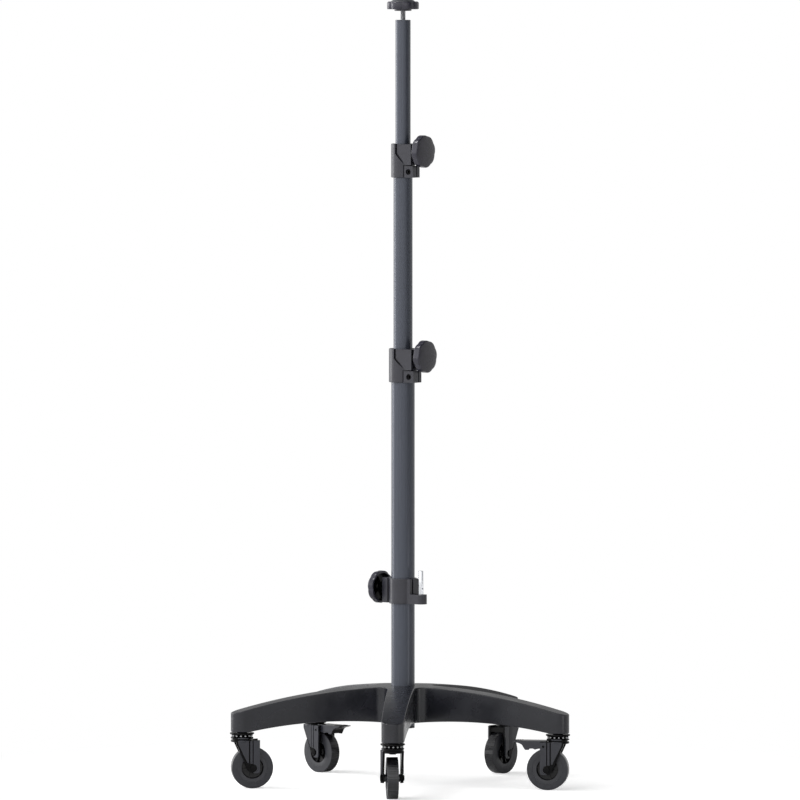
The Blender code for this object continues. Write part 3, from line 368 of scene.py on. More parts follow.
def makeKnobPlastic():
    # the moulding's hollow back lies in its own shade, which is painted there as near black with weak reflections
    v = knobHollowPaintedShade
    material = makeMoulded("mouldedThumbKnobWithPaintedShade", *mouldedParts["knob"])
    tree = material.node_tree
    shader = tree.nodes["Principled BSDF"]
    tint = shader.inputs["Base Color"].links[0].from_socket
    where = addNode(tree, "ShaderNodeTexCoord").outputs["Object"]
    parts = addNode(tree, "ShaderNodeSeparateXYZ", None, {0: where})
    flat = addNode(tree, "ShaderNodeCombineXYZ", None, {0: parts.outputs["X"], 1: parts.outputs["Y"]})
    around = addNode(tree, "ShaderNodeVectorMath", {"operation": "LENGTH"}, {0: flat.outputs[0]})
    inside = []
    for limit, measure in (("rimInner", around.outputs["Value"]), ("ceiling", parts.outputs["Z"])):
        inside.append(addNode(tree, "ShaderNodeMapRange",
                              {"From Min": v[limit], "From Max": v[limit] + v["blend"], "To Min": 1.0, "To Max": 0.0},
                              {"Value": measure}).outputs["Result"])
    hollow = addNode(tree, "ShaderNodeMath", {"operation": "MULTIPLY"}, {0: inside[0], 1: inside[1]})
    # painted shade: near black colour in the hollow back
    colour = addNode(tree, "ShaderNodeMix", {"data_type": "RGBA", 7: toLinear(v["colour"])},
                     {0: hollow.outputs[0], 6: tint})
    tree.links.new(colour.outputs[2], shader.inputs["Base Color"])
    # weaker reflections in the hollow back, as painted shade
    shine = addNode(tree, "ShaderNodeMapRange", {"To Min": 0.5, "To Max": v["specular"]},
                    {"Value": hollow.outputs[0]})
    tree.links.new(shine.outputs["Result"], shader.inputs["Specular IOR Level"])
    return material


# colour, lighter colour, roughness, grain in mm, its depth in metres, and IOR; the grain is near
# 0.3 mm on the real mouldings, and it's drawn at 1 to 2 mm so that it shows
mouldedParts = {
    "clamp": ("#22222A", "#272730", 0.33, 1.3, 0.00003, 1.53),     # glass-filled nylon, satin grey
    "knob": ("#272630", "#2E2D38", 0.24, 1.1, 0.00002, 1.49),      # polypropylene, near black, polished mould
    "cap": ("#34353A", "#3D3E44", 0.38, 1.5, 0.00003, 1.54),       # ABS lid, mid grey
    "liner": ("#19191C", "#202024", 0.5, 1.5, 0.00002, 1.48),      # acetal bush, dull black
}

# black electrocoat on steel: satin dark grey on the outer faces of the pressings; everything inside faceFrom is a
# glossy near black with weak reflections, which is painted shade in the grooves, crown, races and inner faces of the
# fork and pedal, and the turned parts take it all over as their own black
castorSteelAndPaintedShade = {"deep": "#060607", "deepRoughness": 0.17, "deepSpecular": 0.12, "faceSpecular": 0.5,
               "face": "#212229", "faceLighter": "#292A32", "faceRoughness": 0.30,
               "peelMm": 2.2, "peelDepth": 0.00001, "cloudMm": 30.0, "blend": 0.0005,
               "turnedFrom": 1.0, "forkFrom": 0.0178, "pedalFrom": 0.0134}    # a turned part has no such face
# nylon wheel centre: its flat faces are matte grey; the recess is painted dark with weaker reflections, as painted
# shade
wheelNylonAndPaintedShade = {"deep": "#0E0E10", "deepRoughness": 0.25, "deepSpecular": 0.3, "faceSpecular": 0.5,
              "face": "#1F2026", "faceLighter": "#28292F", "faceRoughness": 0.40,
              "peelMm": 1.6, "peelDepth": 0.00001, "cloudMm": 12.0, "blend": 0.0004, "faceFrom": 0.0093}


def makeFaceAndPaintedShade(name, v, axis, faceFrom, ior):
    # the piece's own finish outside faceFrom along its own axis, and a darker one inside it, near black with weak
    # reflections, which is painted shade in the recesses of the fork, pedal and wheel and the own black of the turned
    # parts
    material, tree, shader, where = newFinish(name, v["deep"], v["deepRoughness"], ior=ior)
    parts = addNode(tree, "ShaderNodeSeparateXYZ", None, {0: where})
    across = addNode(tree, "ShaderNodeMath", {"operation": "ABSOLUTE"}, {0: parts.outputs[axis]})
    face = addNode(tree, "ShaderNodeMapRange", {"From Min": faceFrom, "From Max": faceFrom + v["blend"]},
                   {"Value": across.outputs[0]})
    cloud = addNode(tree, "ShaderNodeTexNoise", {"Scale": perMetre(v["cloudMm"]), "Detail": 3.0}, {"Vector": where})
    tint = addNode(tree, "ShaderNodeValToRGB",
                   {"stops": [(0.3, toLinear(v["face"])), (0.8, toLinear(v["faceLighter"]))]},
                   {"Fac": cloud.outputs["Fac"]})
    # inside faceFrom the colour is the near black that paints shade there
    colour = addNode(tree, "ShaderNodeMix", {"data_type": "RGBA", 6: toLinear(v["deep"])},
                     {0: face.outputs["Result"], 7: tint.outputs["Color"]})
    tree.links.new(colour.outputs[2], shader.inputs["Base Color"])
    # inside faceFrom the reflections are weakened, as painted shade
    for socket, word in (("Roughness", "Roughness"), ("Specular IOR Level", "Specular")):
        level = addNode(tree, "ShaderNodeMapRange", {"To Min": v["deep" + word], "To Max": v["face" + word]},
                        {"Value": face.outputs["Result"]})
        tree.links.new(level.outputs["Result"], shader.inputs[socket])
    peel = addNode(tree, "ShaderNodeTexNoise", {"Scale": perMetre(v["peelMm"]), "Detail": 1.0}, {"Vector": where})
    bump = addNode(tree, "ShaderNodeBump", {"Strength": 0.4, "Distance": v["peelDepth"]},
                   {"Height": peel.outputs["Fac"]})
    join(tree, shader, bump=bump)
    return material


tyreRubber = {"tread": "#0B0B0D", "treadWorn": "#313135", "side": "#1F2026", "dusty": "#28292F",
              "treadRoughness": 0.18, "sideRoughness": 0.40, "grainMm": 1.4, "grainDepth": 0.00002, "dustMm": 8.4,
              "lineMm": 2.6, "lineDepth": 0.0003, "radius": 0.0375, "sideFrom": 0.0090, "sideTo": 0.0096}


def makeTyreRubber():
    # thermoplastic rubber: the sides are matte grey like the wheel's centre, the tread is polished
    # black by rolling, with fine streaks across it; Z of the tyre is its axle
    v = tyreRubber
    material, tree, shader, where = newFinish("thermoplasticRubberTread", v["side"], v["sideRoughness"], ior=1.5)
    parts = addNode(tree, "ShaderNodeSeparateXYZ", None, {0: where})
    across = addNode(tree, "ShaderNodeMath", {"operation": "ABSOLUTE"}, {0: parts.outputs["Z"]})
    side = addNode(tree, "ShaderNodeMapRange", {"From Min": v["sideFrom"], "From Max": v["sideTo"]},
                   {"Value": across.outputs[0]})
    dust = addNode(tree, "ShaderNodeTexNoise", {"Scale": perMetre(v["dustMm"]), "Detail": 5.0, "Roughness": 0.6},
                   {"Vector": where})
    tint = addNode(tree, "ShaderNodeValToRGB", {"stops": [(0.35, toLinear(v["side"])), (0.8, toLinear(v["dusty"]))]},
                   {"Fac": dust.outputs["Fac"]})
    rough = addNode(tree, "ShaderNodeMapRange", {"To Min": v["treadRoughness"], "To Max": v["sideRoughness"]},
                    {"Value": side.outputs["Result"]})
    # the wear lines go by the angle round the axle alone, so they run across the tread; real ones
    # are near 1 mm apart, and they're drawn wider so that they show
    angle = addNode(tree, "ShaderNodeMath", {"operation": "ARCTAN2"}, {0: parts.outputs["Y"], 1: parts.outputs["X"]})
    along = addNode(tree, "ShaderNodeMath", {"operation": "MULTIPLY", 1: v["radius"]}, {0: angle.outputs[0]})
    line = addNode(tree, "ShaderNodeTexNoise",
                   {"noise_dimensions": "1D", "Scale": perMetre(v["lineMm"]), "Detail": 3.0},
                   {"W": along.outputs[0]})
    worn = addNode(tree, "ShaderNodeValToRGB",
                   {"stops": [(0.4, toLinear(v["tread"])), (0.65, toLinear(v["treadWorn"]))]},
                   {"Fac": line.outputs["Fac"]})
    colour = addNode(tree, "ShaderNodeMix", {"data_type": "RGBA"},
                     {0: side.outputs["Result"], 6: worn.outputs["Color"], 7: tint.outputs["Color"]})
    tree.links.new(colour.outputs[2], shader.inputs["Base Color"])
    treadOnly = addNode(tree, "ShaderNodeMath", {"operation": "SUBTRACT", 0: 1.0}, {1: side.outputs["Result"]})
    lined = addNode(tree, "ShaderNodeBump", {"Distance": v["lineDepth"]},
                    {"Height": line.outputs["Fac"], "Strength": treadOnly.outputs[0]})
    grain = addNode(tree, "ShaderNodeTexNoise", {"Scale": perMetre(v["grainMm"]), "Detail": 2.0}, {"Vector": where})
    bump = addNode(tree, "ShaderNodeBump", {"Strength": 0.5, "Distance": v["grainDepth"]},
                   {"Height": grain.outputs["Fac"], "Normal": lined.outputs["Normal"]})
    join(tree, shader, None, rough, bump)
    return material


# name, colour, roughness, turning marks in mm and their depth in metres; real marks are finer
metalFinishes = {
    "zinc": ("zincPlatedTurnedSteel", "#B9BABC", 0.3, 0.6, 0.00002),      # turning marks and a soft grey shine
    "chrome": ("chromePlatedSteel", "#E4E6EA", 0.16, 1.2, 0.000006),      # bright, with a cool tint
}


def makeMetal(name, colour, roughness, markMm, markDepth):
    # plated steel: fine marks of the turning that break up its bright reflections
    material, tree, shader, where = newFinish(name, colour, roughness, 1.0)
    marks = addNode(tree, "ShaderNodeTexNoise", {"Scale": perMetre(markMm), "Detail": 2.0}, {"Vector": where})
    rough = addNode(tree, "ShaderNodeMapRange", {"From Min": 0.3, "From Max": 0.7, "To Min": roughness * 0.8,
                                                 "To Max": roughness * 1.3}, {"Value": marks.outputs["Fac"]})
    bump = addNode(tree, "ShaderNodeBump", {"Strength": 0.4, "Distance": markDepth}, {"Height": marks.outputs["Fac"]})
    join(tree, shader, None, rough, bump)
    return material


finishes = {"cast": makePowderCoat(), "tube": makeTubeLacquer(), "tyre": makeTyreRubber(),
            "blackSteel": makeFaceAndPaintedShade("electrocoatOnTurnedSteel", castorSteelAndPaintedShade, "Y", castorSteelAndPaintedShade["turnedFrom"], 1.5),
            "forkSteel": makeFaceAndPaintedShade("electrocoatOnForkPressingAndPaintedShade", castorSteelAndPaintedShade, "Y", castorSteelAndPaintedShade["forkFrom"], 1.5),
            "pedalSteel": makeFaceAndPaintedShade("electrocoatOnPedalPressingAndPaintedShade", castorSteelAndPaintedShade, "Y", castorSteelAndPaintedShade["pedalFrom"], 1.5),
            "wheel": makeFaceAndPaintedShade("mouldedWheelNylonAndPaintedShade", wheelNylonAndPaintedShade, "Z", wheelNylonAndPaintedShade["faceFrom"], 1.53)}
for part, values in mouldedParts.items():
    finishes[part] = makeMoulded("moulded" + part.capitalize(), *values)
finishes["thumbKnob"] = makeKnobPlastic()
for part, values in metalFinishes.items():
    finishes[part] = makeMetal(*values)
print("finishes made")


# star base, metres; its arms are arched over and under, and the cells under them are open
starBase = {"arms": 5, "swivelRadius": 0.300, "rootHalfWidth": 0.024, "tipRadius": 0.0203, "rootFillet": 0.018,
            "hubTop": 0.1805, "topArc": 1.180, "underArc": 0.850, "underArcCentre": 0.127, "underTop": 0.1189,
            "tipUnder": 0.1025, "edge": 0.0013, "wall": 0.004, "rib": 0.003, "cellsPerArm": 4, "hubWall": 0.009,
            "filletSteps": 14, "straightSteps": 26, "tipSteps": 32,
            "stemBore": 0.0058, "stemDepth": 0.0243, "grubHeight": 0.150, "grubBore": 0.0043}

tubeLow, tubeHigh = nodeBox("lower_tube")
mastAxis = Vector(((tubeLow.x + tubeHigh.x) / 2, (tubeLow.y + tubeHigh.y) / 2, 0.0))
lowerTubeRadius = (tubeHigh.x - tubeLow.x) / 2


def topHeight(radius):
    v = starBase
    return v["hubTop"] - v["topArc"] + math.sqrt(v["topArc"] ** 2 - radius ** 2)


def underHeight(radius):
    v = starBase
    drop = v["underArc"] - math.sqrt(v["underArc"] ** 2 - (radius - v["underArcCentre"]) ** 2)
    return max(v["underTop"] - drop, v["tipUnder"])


def armSidePoints():
    # pairs of a point on the arm's middle line and one on its side, hub to tip
    v = starBase
    halfStep = math.pi / v["arms"]
    out = (v["rootFillet"] + v["rootHalfWidth"]) / math.sin(halfStep)
    centre = Vector((math.cos(halfStep), math.sin(halfStep))) * out
    pairs = []
    for step in range(v["filletSteps"] + 1):
        share = step / v["filletSteps"]
        angle = halfStep + math.pi + (math.pi / 2 - halfStep) * share
        side = centre + Vector((math.cos(angle), math.sin(angle))) * v["rootFillet"]
        pairs.append(((centre.x * share, 0.0), (side.x, side.y)))
    for step in range(1, v["straightSteps"] + 1):
        share = step / v["straightSteps"]
        along = centre.x + (v["swivelRadius"] - centre.x) * share
        halfWidth = v["rootHalfWidth"] + (v["tipRadius"] - v["rootHalfWidth"]) * share
        pairs.append(((along, 0.0), (along, halfWidth)))
    return pairs


def starSolid():
    # the five arms in one closed skin, with no wall between them at the hub
    v = starBase
    mesh = bmesh.new()
    pairs = armSidePoints()
    tipMiddle = pairs[-1][0]
    tip = rounded(tipMiddle, v["tipRadius"], 90, -90, v["tipSteps"])

    def lifted(points, heightOf, turn):
        for x, y in points:
            yield mesh.verts.new((*(turn @ Vector((x, y))), heightOf(math.hypot(x, y))))

    for arm in range(v["arms"]):
        turn = Matrix.Rotation(2 * math.pi * arm / v["arms"], 2)
        for heightOf in (topHeight, underHeight):
            for mirror in (1, -1):
                for (nearMid, nearSide), (farMid, farSide) in zip(pairs, pairs[1:]):
                    corners = [(x, y * mirror) for x, y in (nearMid, farMid, farSide, nearSide)]
                    mesh.faces.new(list(dict.fromkeys(lifted(corners, heightOf, turn))))
            for first, second in zip(tip, tip[1:]):
                mesh.faces.new(list(lifted([tipMiddle, first, second], heightOf, turn)))
        left = [side for middle, side in pairs]
        outline = left + tip[1:-1] + [(x, -y) for x, y in reversed(left)]
        for first, second in zip(outline, outline[1:]):
            upper = list(lifted([first, second], topHeight, turn))
            lower = list(lifted([second, first], underHeight, turn))
            mesh.faces.new(upper + lower)
    bmesh.ops.remove_doubles(mesh, verts=mesh.verts, dist=0.00001)
    return mesh


def armCells(angle):
    # the open cells under one arm, a rib between each two
    v = starBase
    innerEnd = lowerTubeRadius + v["hubWall"] + v["rib"]
    pitch = (v["swivelRadius"] - v["tipRadius"] - innerEnd) / v["cellsPerArm"]
    slope = (v["rootHalfWidth"] - v["tipRadius"]) / v["swivelRadius"]
    cells = []
    for index in range(v["cellsPerArm"]):
        mesh = bmesh.new()
        ends = []
        for along in (innerEnd + pitch * index, innerEnd + pitch * (index + 1) - v["rib"]):
            half = v["rootHalfWidth"] - slope * along - v["wall"]
            ceiling = topHeight(along) - v["wall"]
            floor = v["tipUnder"] - v["wall"]
            ends.append([mesh.verts.new((along, half, floor)), mesh.verts.new((along, half, ceiling)),
                         mesh.verts.new((along, -half, ceiling)), mesh.verts.new((along, -half, floor))])
        mesh.faces.new(ends[0])
        mesh.faces.new(ends[1])
        for side in range(4):
            after = (side + 1) % 4
            mesh.faces.new([ends[0][side], ends[0][after], ends[1][after], ends[1][side]])
        cells.append(turnedBy(mesh, math.degrees(angle), "Z"))
    return cells


def makeStarBase():
    v = starBase
    base = newPiece("starBaseCasting", starSolid())
    eased(base, v["edge"], 3, 50)
    cuts = []
    for arm in range(v["arms"]):
        angle = 2 * math.pi * arm / v["arms"]
        socket = spun(rod(v["stemBore"], v["tipUnder"] - v["wall"], v["tipUnder"] + v["stemDepth"]), 32)
        cuts.append(shifted(socket, v["swivelRadius"] * math.cos(angle), v["swivelRadius"] * math.sin(angle)))
        cuts += armCells(angle)
    cuts.append(spun(rod(lowerTubeRadius + fitGap, 0.0, v["hubTop"] * 2), 96))
    grub = turnedBy(spun(rod(v["grubBore"], 0.0, v["swivelRadius"]), 24), -90, "Y")
    cuts.append(shifted(grub, z=v["grubHeight"]))
    merged(base, "DIFFERENCE", cuts)
    crisp(base, 35)
    base.matrix_world = Matrix.Translation(mastAxis) @ Matrix.Rotation(-math.pi / 2, 4, "Z")
    dressed(base, finishes["cast"], "cast_base_paint", "stand_base", "star_base")


makeStarBase()
print("star base made")


# mast tubes: the body that each rides on and its wall in metres; their ends are eased by a share of it
mastTubes = {"lower_tube": ("stand_base", 0.0020), "middle_tube": ("middle_mast", 0.0015),
             "upper_tube": ("upper_mast", 0.0015)}
tubeEdge = 0.35


def tubeRadius(node):
    low, high = nodeBox(node)
    return (high.x - low.x) / 2


def makeTube(node, body, wall):
    low, high = nodeBox(node)
    outer = tubeRadius(node)
    inner = outer - wall
    edge = wall * tubeEdge
    profile = [(inner, low.z + edge), (inner + edge, low.z), (outer - edge, low.z), (outer, low.z + edge),
               (outer, high.z - edge), (outer - edge, high.z), (inner + edge, high.z), (inner, high.z - edge)]
    tube = newPiece(node + "Drawn", spun(profile, 128), Matrix.Translation(mastAxis))
    smoothed(tube)
    dressed(tube, finishes["tube"], "tube_paint", body, node)


for node, (body, wall) in mastTubes.items():
    makeTube(node, body, wall)
print("mast tubes made")


# telescopic clamps, metres; X points to the knob, Z up from the lower rim
clampShape = {"wall": 0.0040, "rimEdge": 0.0014, "edge": 0.0005, "lip": 0.0030, "lipBore": 0.0009,
              "blockHeight": 0.0378, "blockReach": 0.0100, "flatIn": 0.0019, "slantRise": 0.0205, "slantEnd": 0.73,
              "blockBack": 0.0019, "grooveWidth": 0.0030, "grooveDepth": 0.0032, "earReach": 0.0122,
              "earNear": 0.0050, "earFar": 0.0047, "earGroove": 0.0018, "earLine": 0.0014, "slitOffset": 0.0045,
              "slitWidth": 0.0024, "inset": 0.0004, "pocketGap": 0.0001, "thumbDrop": 0.0135, "thumbBore": 0.0043,
              "neckRadius": 0.0068, "neckRise": 0.0008, "knobAway": 0.0011,
              "backShift": 0.00017, "lowShift": 0.00037, "earShift": 0.00053,    # off the planes of other faces
              "pinchBore": 0.0033, "pinchHeadBore": 0.0055, "pinchHeadDepth": 0.0043, "pinchInset": 0.0060,
              "pinchSunk": 0.0022, "pinchHead": 0.0042, "pinchSocket": 0.0024, "pinchShank": 0.0030,
              "pinchSocketDepth": 0.0030, "pinchHeadHeight": 0.0028, "pinchEdge": 0.0004}


def makeClampCollar(label, tubeNode, body):
    v = clampShape
    bottom, top = nodeBox(label + "_collar")
    bore = tubeRadius(tubeNode) + fitGap
    outer = bore + v["wall"]
    height = top.z - bottom.z
    place = placeAlong((mastAxis.x, mastAxis.y, bottom.z), joints[label + "_knob_turn"]["axis"])
    collar = newPiece(label + "Collar", spun(rod(outer, 0, height, v["rimEdge"]), 96), place)
    flat = outer - v["flatIn"]
    blockLow = height - v["blockHeight"]
    slantEnd = outer * v["slantEnd"]
    reach = outer + v["blockReach"]
    earFace = outer - v["earNear"]
    outline = [(-v["blockBack"], height - v["inset"]), (-v["blockBack"], blockLow + v["slantRise"]),
               (slantEnd, blockLow), (reach, blockLow), (reach, height - v["inset"])]
    ears = brick(0, outer + v["earReach"], -earFace, v["earFar"], v["inset"], blockLow - v["earGroove"])
    neck = barAlong("X", v["neckRadius"], 0, reach + v["neckRise"], 48, v["inset"])
    back = -v["blockBack"] - v["pocketGap"]
    low = blockLow - v["pocketGap"]
    face = flat - v["pocketGap"]
    pocket = [(back, height * 2), (back, blockLow + v["slantRise"]), (slantEnd - v["pocketGap"], low),
              (outer * 2, low), (outer * 2, height * 2)]
    merged(collar, "UNION", [sideSlab(outline, -flat, flat), ears])
    merged(collar, "DIFFERENCE", [sideSlab(pocket, face, outer * 2), sideSlab(pocket, -outer * 2, -face)])
    eased(collar, v["edge"], 2, 40)
    # the dark line round the flat face is a groove at the foot of the step
    back = -v["blockBack"] - v["backShift"]
    low = blockLow - v["lowShift"]
    groove = v["grooveWidth"]
    line = [(back, height * 2), (back, low + v["slantRise"]), (slantEnd, low), (slantEnd + groove * 1.4, low),
            (back + groove, low + v["slantRise"] + groove * 0.4), (back + groove, height * 2)]
    depth = flat - v["grooveDepth"]
    merged(collar, "DIFFERENCE", [sideSlab(line, depth, outer * 2), sideSlab(line, -outer * 2, -depth)])
    # the dark line up the ear's edge, where it leaves the round body
    earEdge = math.sqrt(outer ** 2 - earFace ** 2)
    earLine = brick(earEdge - v["earLine"] / 2, earEdge + v["earLine"] / 2, -outer * 2,
                    -earFace + v["grooveDepth"] * 0.8, -height, blockLow - v["earShift"])
    merged(collar, "DIFFERENCE", [earLine])
    merged(collar, "UNION", [shifted(neck, z=height - v["thumbDrop"])])
    bores = [spun(rod(bore, -height, height - v["lip"]), 96),
             spun(rod(bore - v["wall"] + v["lipBore"], 0, height * 2), 96)]
    slit = brick(bore / 2, outer * 2, -v["slitOffset"] - v["slitWidth"] / 2, -v["slitOffset"] + v["slitWidth"] / 2,
                 -height, blockLow - v["earGroove"] / 2)
    thumb = shifted(barAlong("X", v["thumbBore"], 0, outer * 2, 32), z=height - v["thumbDrop"])
    pinchX = bore + v["pinchInset"]
    pinchZ = (blockLow - v["earGroove"]) / 2
    pinch = barAlong("Y", v["pinchBore"], -outer * 2, outer * 2, 32)
    head = barAlong("Y", v["pinchHeadBore"], -outer * 2, -earFace + v["pinchHeadDepth"], 32)
    merged(collar, "DIFFERENCE", bores + [slit, thumb] + [shifted(cut, pinchX, 0, pinchZ) for cut in (pinch, head)])
    crisp(collar, 30)
    dressed(collar, finishes["clamp"], "clamp_plastic", body, label + "_collar")

    # black socket screw, sunk in the near ear
    head, socket, shank, edge = v["pinchHead"], v["pinchSocket"], v["pinchShank"], v["pinchEdge"]
    start, end = -earFace + v["pinchSunk"], v["earFar"]
    socketEnd, headEnd = start + v["pinchSocketDepth"], start + v["pinchHeadHeight"]
    profile = [(0, socketEnd), (socket, socketEnd), (socket, start + edge), (socket + edge, start)]
    profile += [(head - edge, start), (head, start + edge), (head, headEnd), (shank, headEnd)]
    profile += [(shank, end - edge), (shank - edge, end), (0, end)]
    screw = newPiece(label + "PinchScrew", shifted(turnedBy(spun(profile, 48), -90, "X"), pinchX, 0, pinchZ), place)
    smoothed(screw)
    dressed(screw, finishes["blackSteel"], "screw_steel", body, label + "_pinch_screw")


makeClampCollar("lower_clamp", "lower_tube", "stand_base")
makeClampCollar("upper_clamp", "middle_tube", "middle_mast")
print("clamp collars made")


# star knobs, metres, along their own axis from the hub's end
knobShape = {"radius": 0.0295, "lobes": 8, "lobeDepth": 0.0012, "lobeDepthBack": 0.0006, "thickness": 0.0145,
             "standoff": 0.0065, "hubRadius": 0.0068, "hubEdge": 0.0005, "recess": 0.0085, "recessEdge": 0.001,
             "rim": 0.0046, "lip": 0.0003, "faceEdge": 0.0026, "backEdge": 0.0014, "crown": 0.0020,
             "crownSteps": ((0.72, 0.0010), (0.5, 0.0004), (0.2, 0.0)),    # share of the radius, drop from the face
             "webs": 4, "webTurn": 22.5, "webHalf": 0.0006, "webSunk": 0.0015, "webInto": 0.0005,
             "screwRadius": 0.004, "depthOnScrew": 0.008, "pitch": 0.00125, "threadDepth": 0.0005}


def lobed(angle, radius, height):
    # draws the rim in between its lobes, fading towards the middle of the face
    v = knobShape
    inner = v["radius"] - v["rim"] - 0.0001
    if radius <= inner:
        return radius
    share = min(1.0, (radius - inner) / (v["radius"] - v["faceEdge"] * 0.5 - inner))
    fromFace = 1 - (height - v["standoff"]) / v["thickness"]
    deep = v["lobeDepth"] + v["lobeDepthBack"] * min(1.0, max(0.0, fromFace))
    return radius - deep * share * (1 - abs(math.sin(v["lobes"] * angle / 2)))


def knobRim(back, face):
    v = knobShape
    outer = v["radius"]
    points = rounded((outer - v["backEdge"], back + v["backEdge"]), v["backEdge"], -90, 0, 4)
    points += rounded((outer - v["faceEdge"], face - v["crown"] - v["faceEdge"]), v["faceEdge"], 0, 82, 8)
    return points


def makeThumbKnob(name, nodeName, body, place, seat):
    v = knobShape
    back = v["standoff"]
    face = back + v["thickness"]
    rimInner = v["radius"] - v["rim"]
    ceiling = back + v["recess"]
    boreDepth = v["depthOnScrew"] + fitGap
    bore = v["screwRadius"] + fitGap
    hub, edge, lip = v["hubRadius"], v["recessEdge"], v["lip"]
    profile = [(0, boreDepth), (bore, boreDepth), (bore, 0), (hub - v["hubEdge"], 0), (hub, v["hubEdge"]),
               (hub, ceiling - edge), (hub + edge, ceiling), (rimInner - edge, ceiling),
               (rimInner, ceiling - edge), (rimInner, back + lip), (rimInner + lip, back)]
    profile += knobRim(back, face) + [(v["radius"] * share, face - drop) for share, drop in v["crownSteps"]]
    profile += [(0, face)]
    knob = newPiece(name, spun(profile, 192, lobed), place @ Matrix.Translation((0, 0, seat)))
    # webs in the hollow back, hub to rim, as a moulding of this size has
    webs = []
    for turn in range(v["webs"]):
        web = brick(hub - v["webInto"], rimInner + v["webInto"], -v["webHalf"], v["webHalf"],
                    back + v["webSunk"], ceiling + v["webInto"])
        webs.append(turnedBy(web, 360 / v["webs"] * turn + v["webTurn"], "Z"))
    merged(knob, "UNION", webs)
    smoothed(knob, 34)
    dressed(knob, finishes["thumbKnob"], "knob_plastic", body, nodeName)


def threaded(radius, depth, pitch, low, high, sides=40, ease=0.001):
    # screw thread: a bar whose surface runs in a helix, smooth for one pitch at each end
    stepsPerTurn = 8
    rows = max(2, round((high - low) / pitch * stepsPerTurn))
    mesh = bmesh.new()
    rings = []
    for row in range(rows + 1):
        z = low + (high - low) * row / rows
        fade = min(1.0, (z - low) / ease, (high - z) / ease)
        ring = []
        for side in range(sides):
            angle = 2 * math.pi * side / sides
            phase = (z / pitch - side / sides) % 1.0
            cut = depth * (1 - abs(2 * phase - 1)) * fade + (1 - fade) * depth * 0.6
            reach = radius - cut
            ring.append(mesh.verts.new((reach * math.cos(angle), reach * math.sin(angle), z)))
        rings.append(ring)
    for first, second in zip(rings, rings[1:]):
        for side in range(sides):
            after = (side + 1) % sides
            mesh.faces.new([first[side], first[after], second[after], second[side]])
    mesh.faces.new(rings[0])
    mesh.faces.new(rings[-1])
    return mesh


def makeThumbScrew(name, nodeName, body, place, tip, seat):
    v = knobShape
    thread = threaded(v["screwRadius"], v["threadDepth"], v["pitch"], tip, seat + v["depthOnScrew"])
    screw = newPiece(name, thread, place)
    smoothed(screw, 40)
    dressed(screw, finishes["zinc"], "screw_steel", body, nodeName)


def knobAxis(jointName):
    # the joint's place, with Z along its axis
    joint = joints[jointName]
    turn = Vector((0, 0, 1)).rotation_difference(Vector(joint["axis"])).to_matrix().to_4x4()
    return Matrix.Translation(Vector(joint["pos_m"])) @ turn


def makeKnobAndScrew(name, label, tip, seat):
    axis = knobAxis(label + "_knob_turn")
    makeThumbKnob(name + "Knob", label + "_knob", label + "_turning", axis, seat)
    makeThumbScrew(name + "Screw", label + "_screw", label + "_turning", axis, tip, seat)


for label, tubeNode, innerNode in (("lower_clamp", "lower_tube", "middle_tube"),
                                   ("upper_clamp", "middle_tube", "upper_tube")):
    seat = tubeRadius(tubeNode) + fitGap + clampShape["wall"] + clampShape["blockReach"] + clampShape["knobAway"]
    makeKnobAndScrew(label, label, tubeRadius(innerNode) + fitGap, seat)
print("clamp knobs made")


# accessory collar, metres; X points to its knob, and the arm with the pin goes the other way
accessoryShape = {"wall": 0.0026, "linerWall": 0.0009, "rimEdge": 0.0012, "edge": 0.0006, "bossReach": 0.0160,
                  "bossHalfWidth": 0.010, "earReach": 0.0036, "earNear": 0.0143, "earFar": 0.0104,
                  "slitOffset": 0.0066, "slitWidth": 0.0040, "grooveWidth": 0.0030, "grooveDepth": 0.0042,
                  "grooveAway": 0.0003, "inset": 0.0004,
                  "armLow": 0.0008, "armHeight": 0.018, "armHalfWidth": 0.0108, "pinReach": 0.0206,
                  "pinOffset": 0.0035, "pinRadius": 0.0045, "pinEdge": 0.0009, "pinDepth": 0.012,
                  "crossHole": 0.0017, "crossHoleHeight": 0.029, "thumbDrop": 0.0185, "thumbBore": 0.0043}


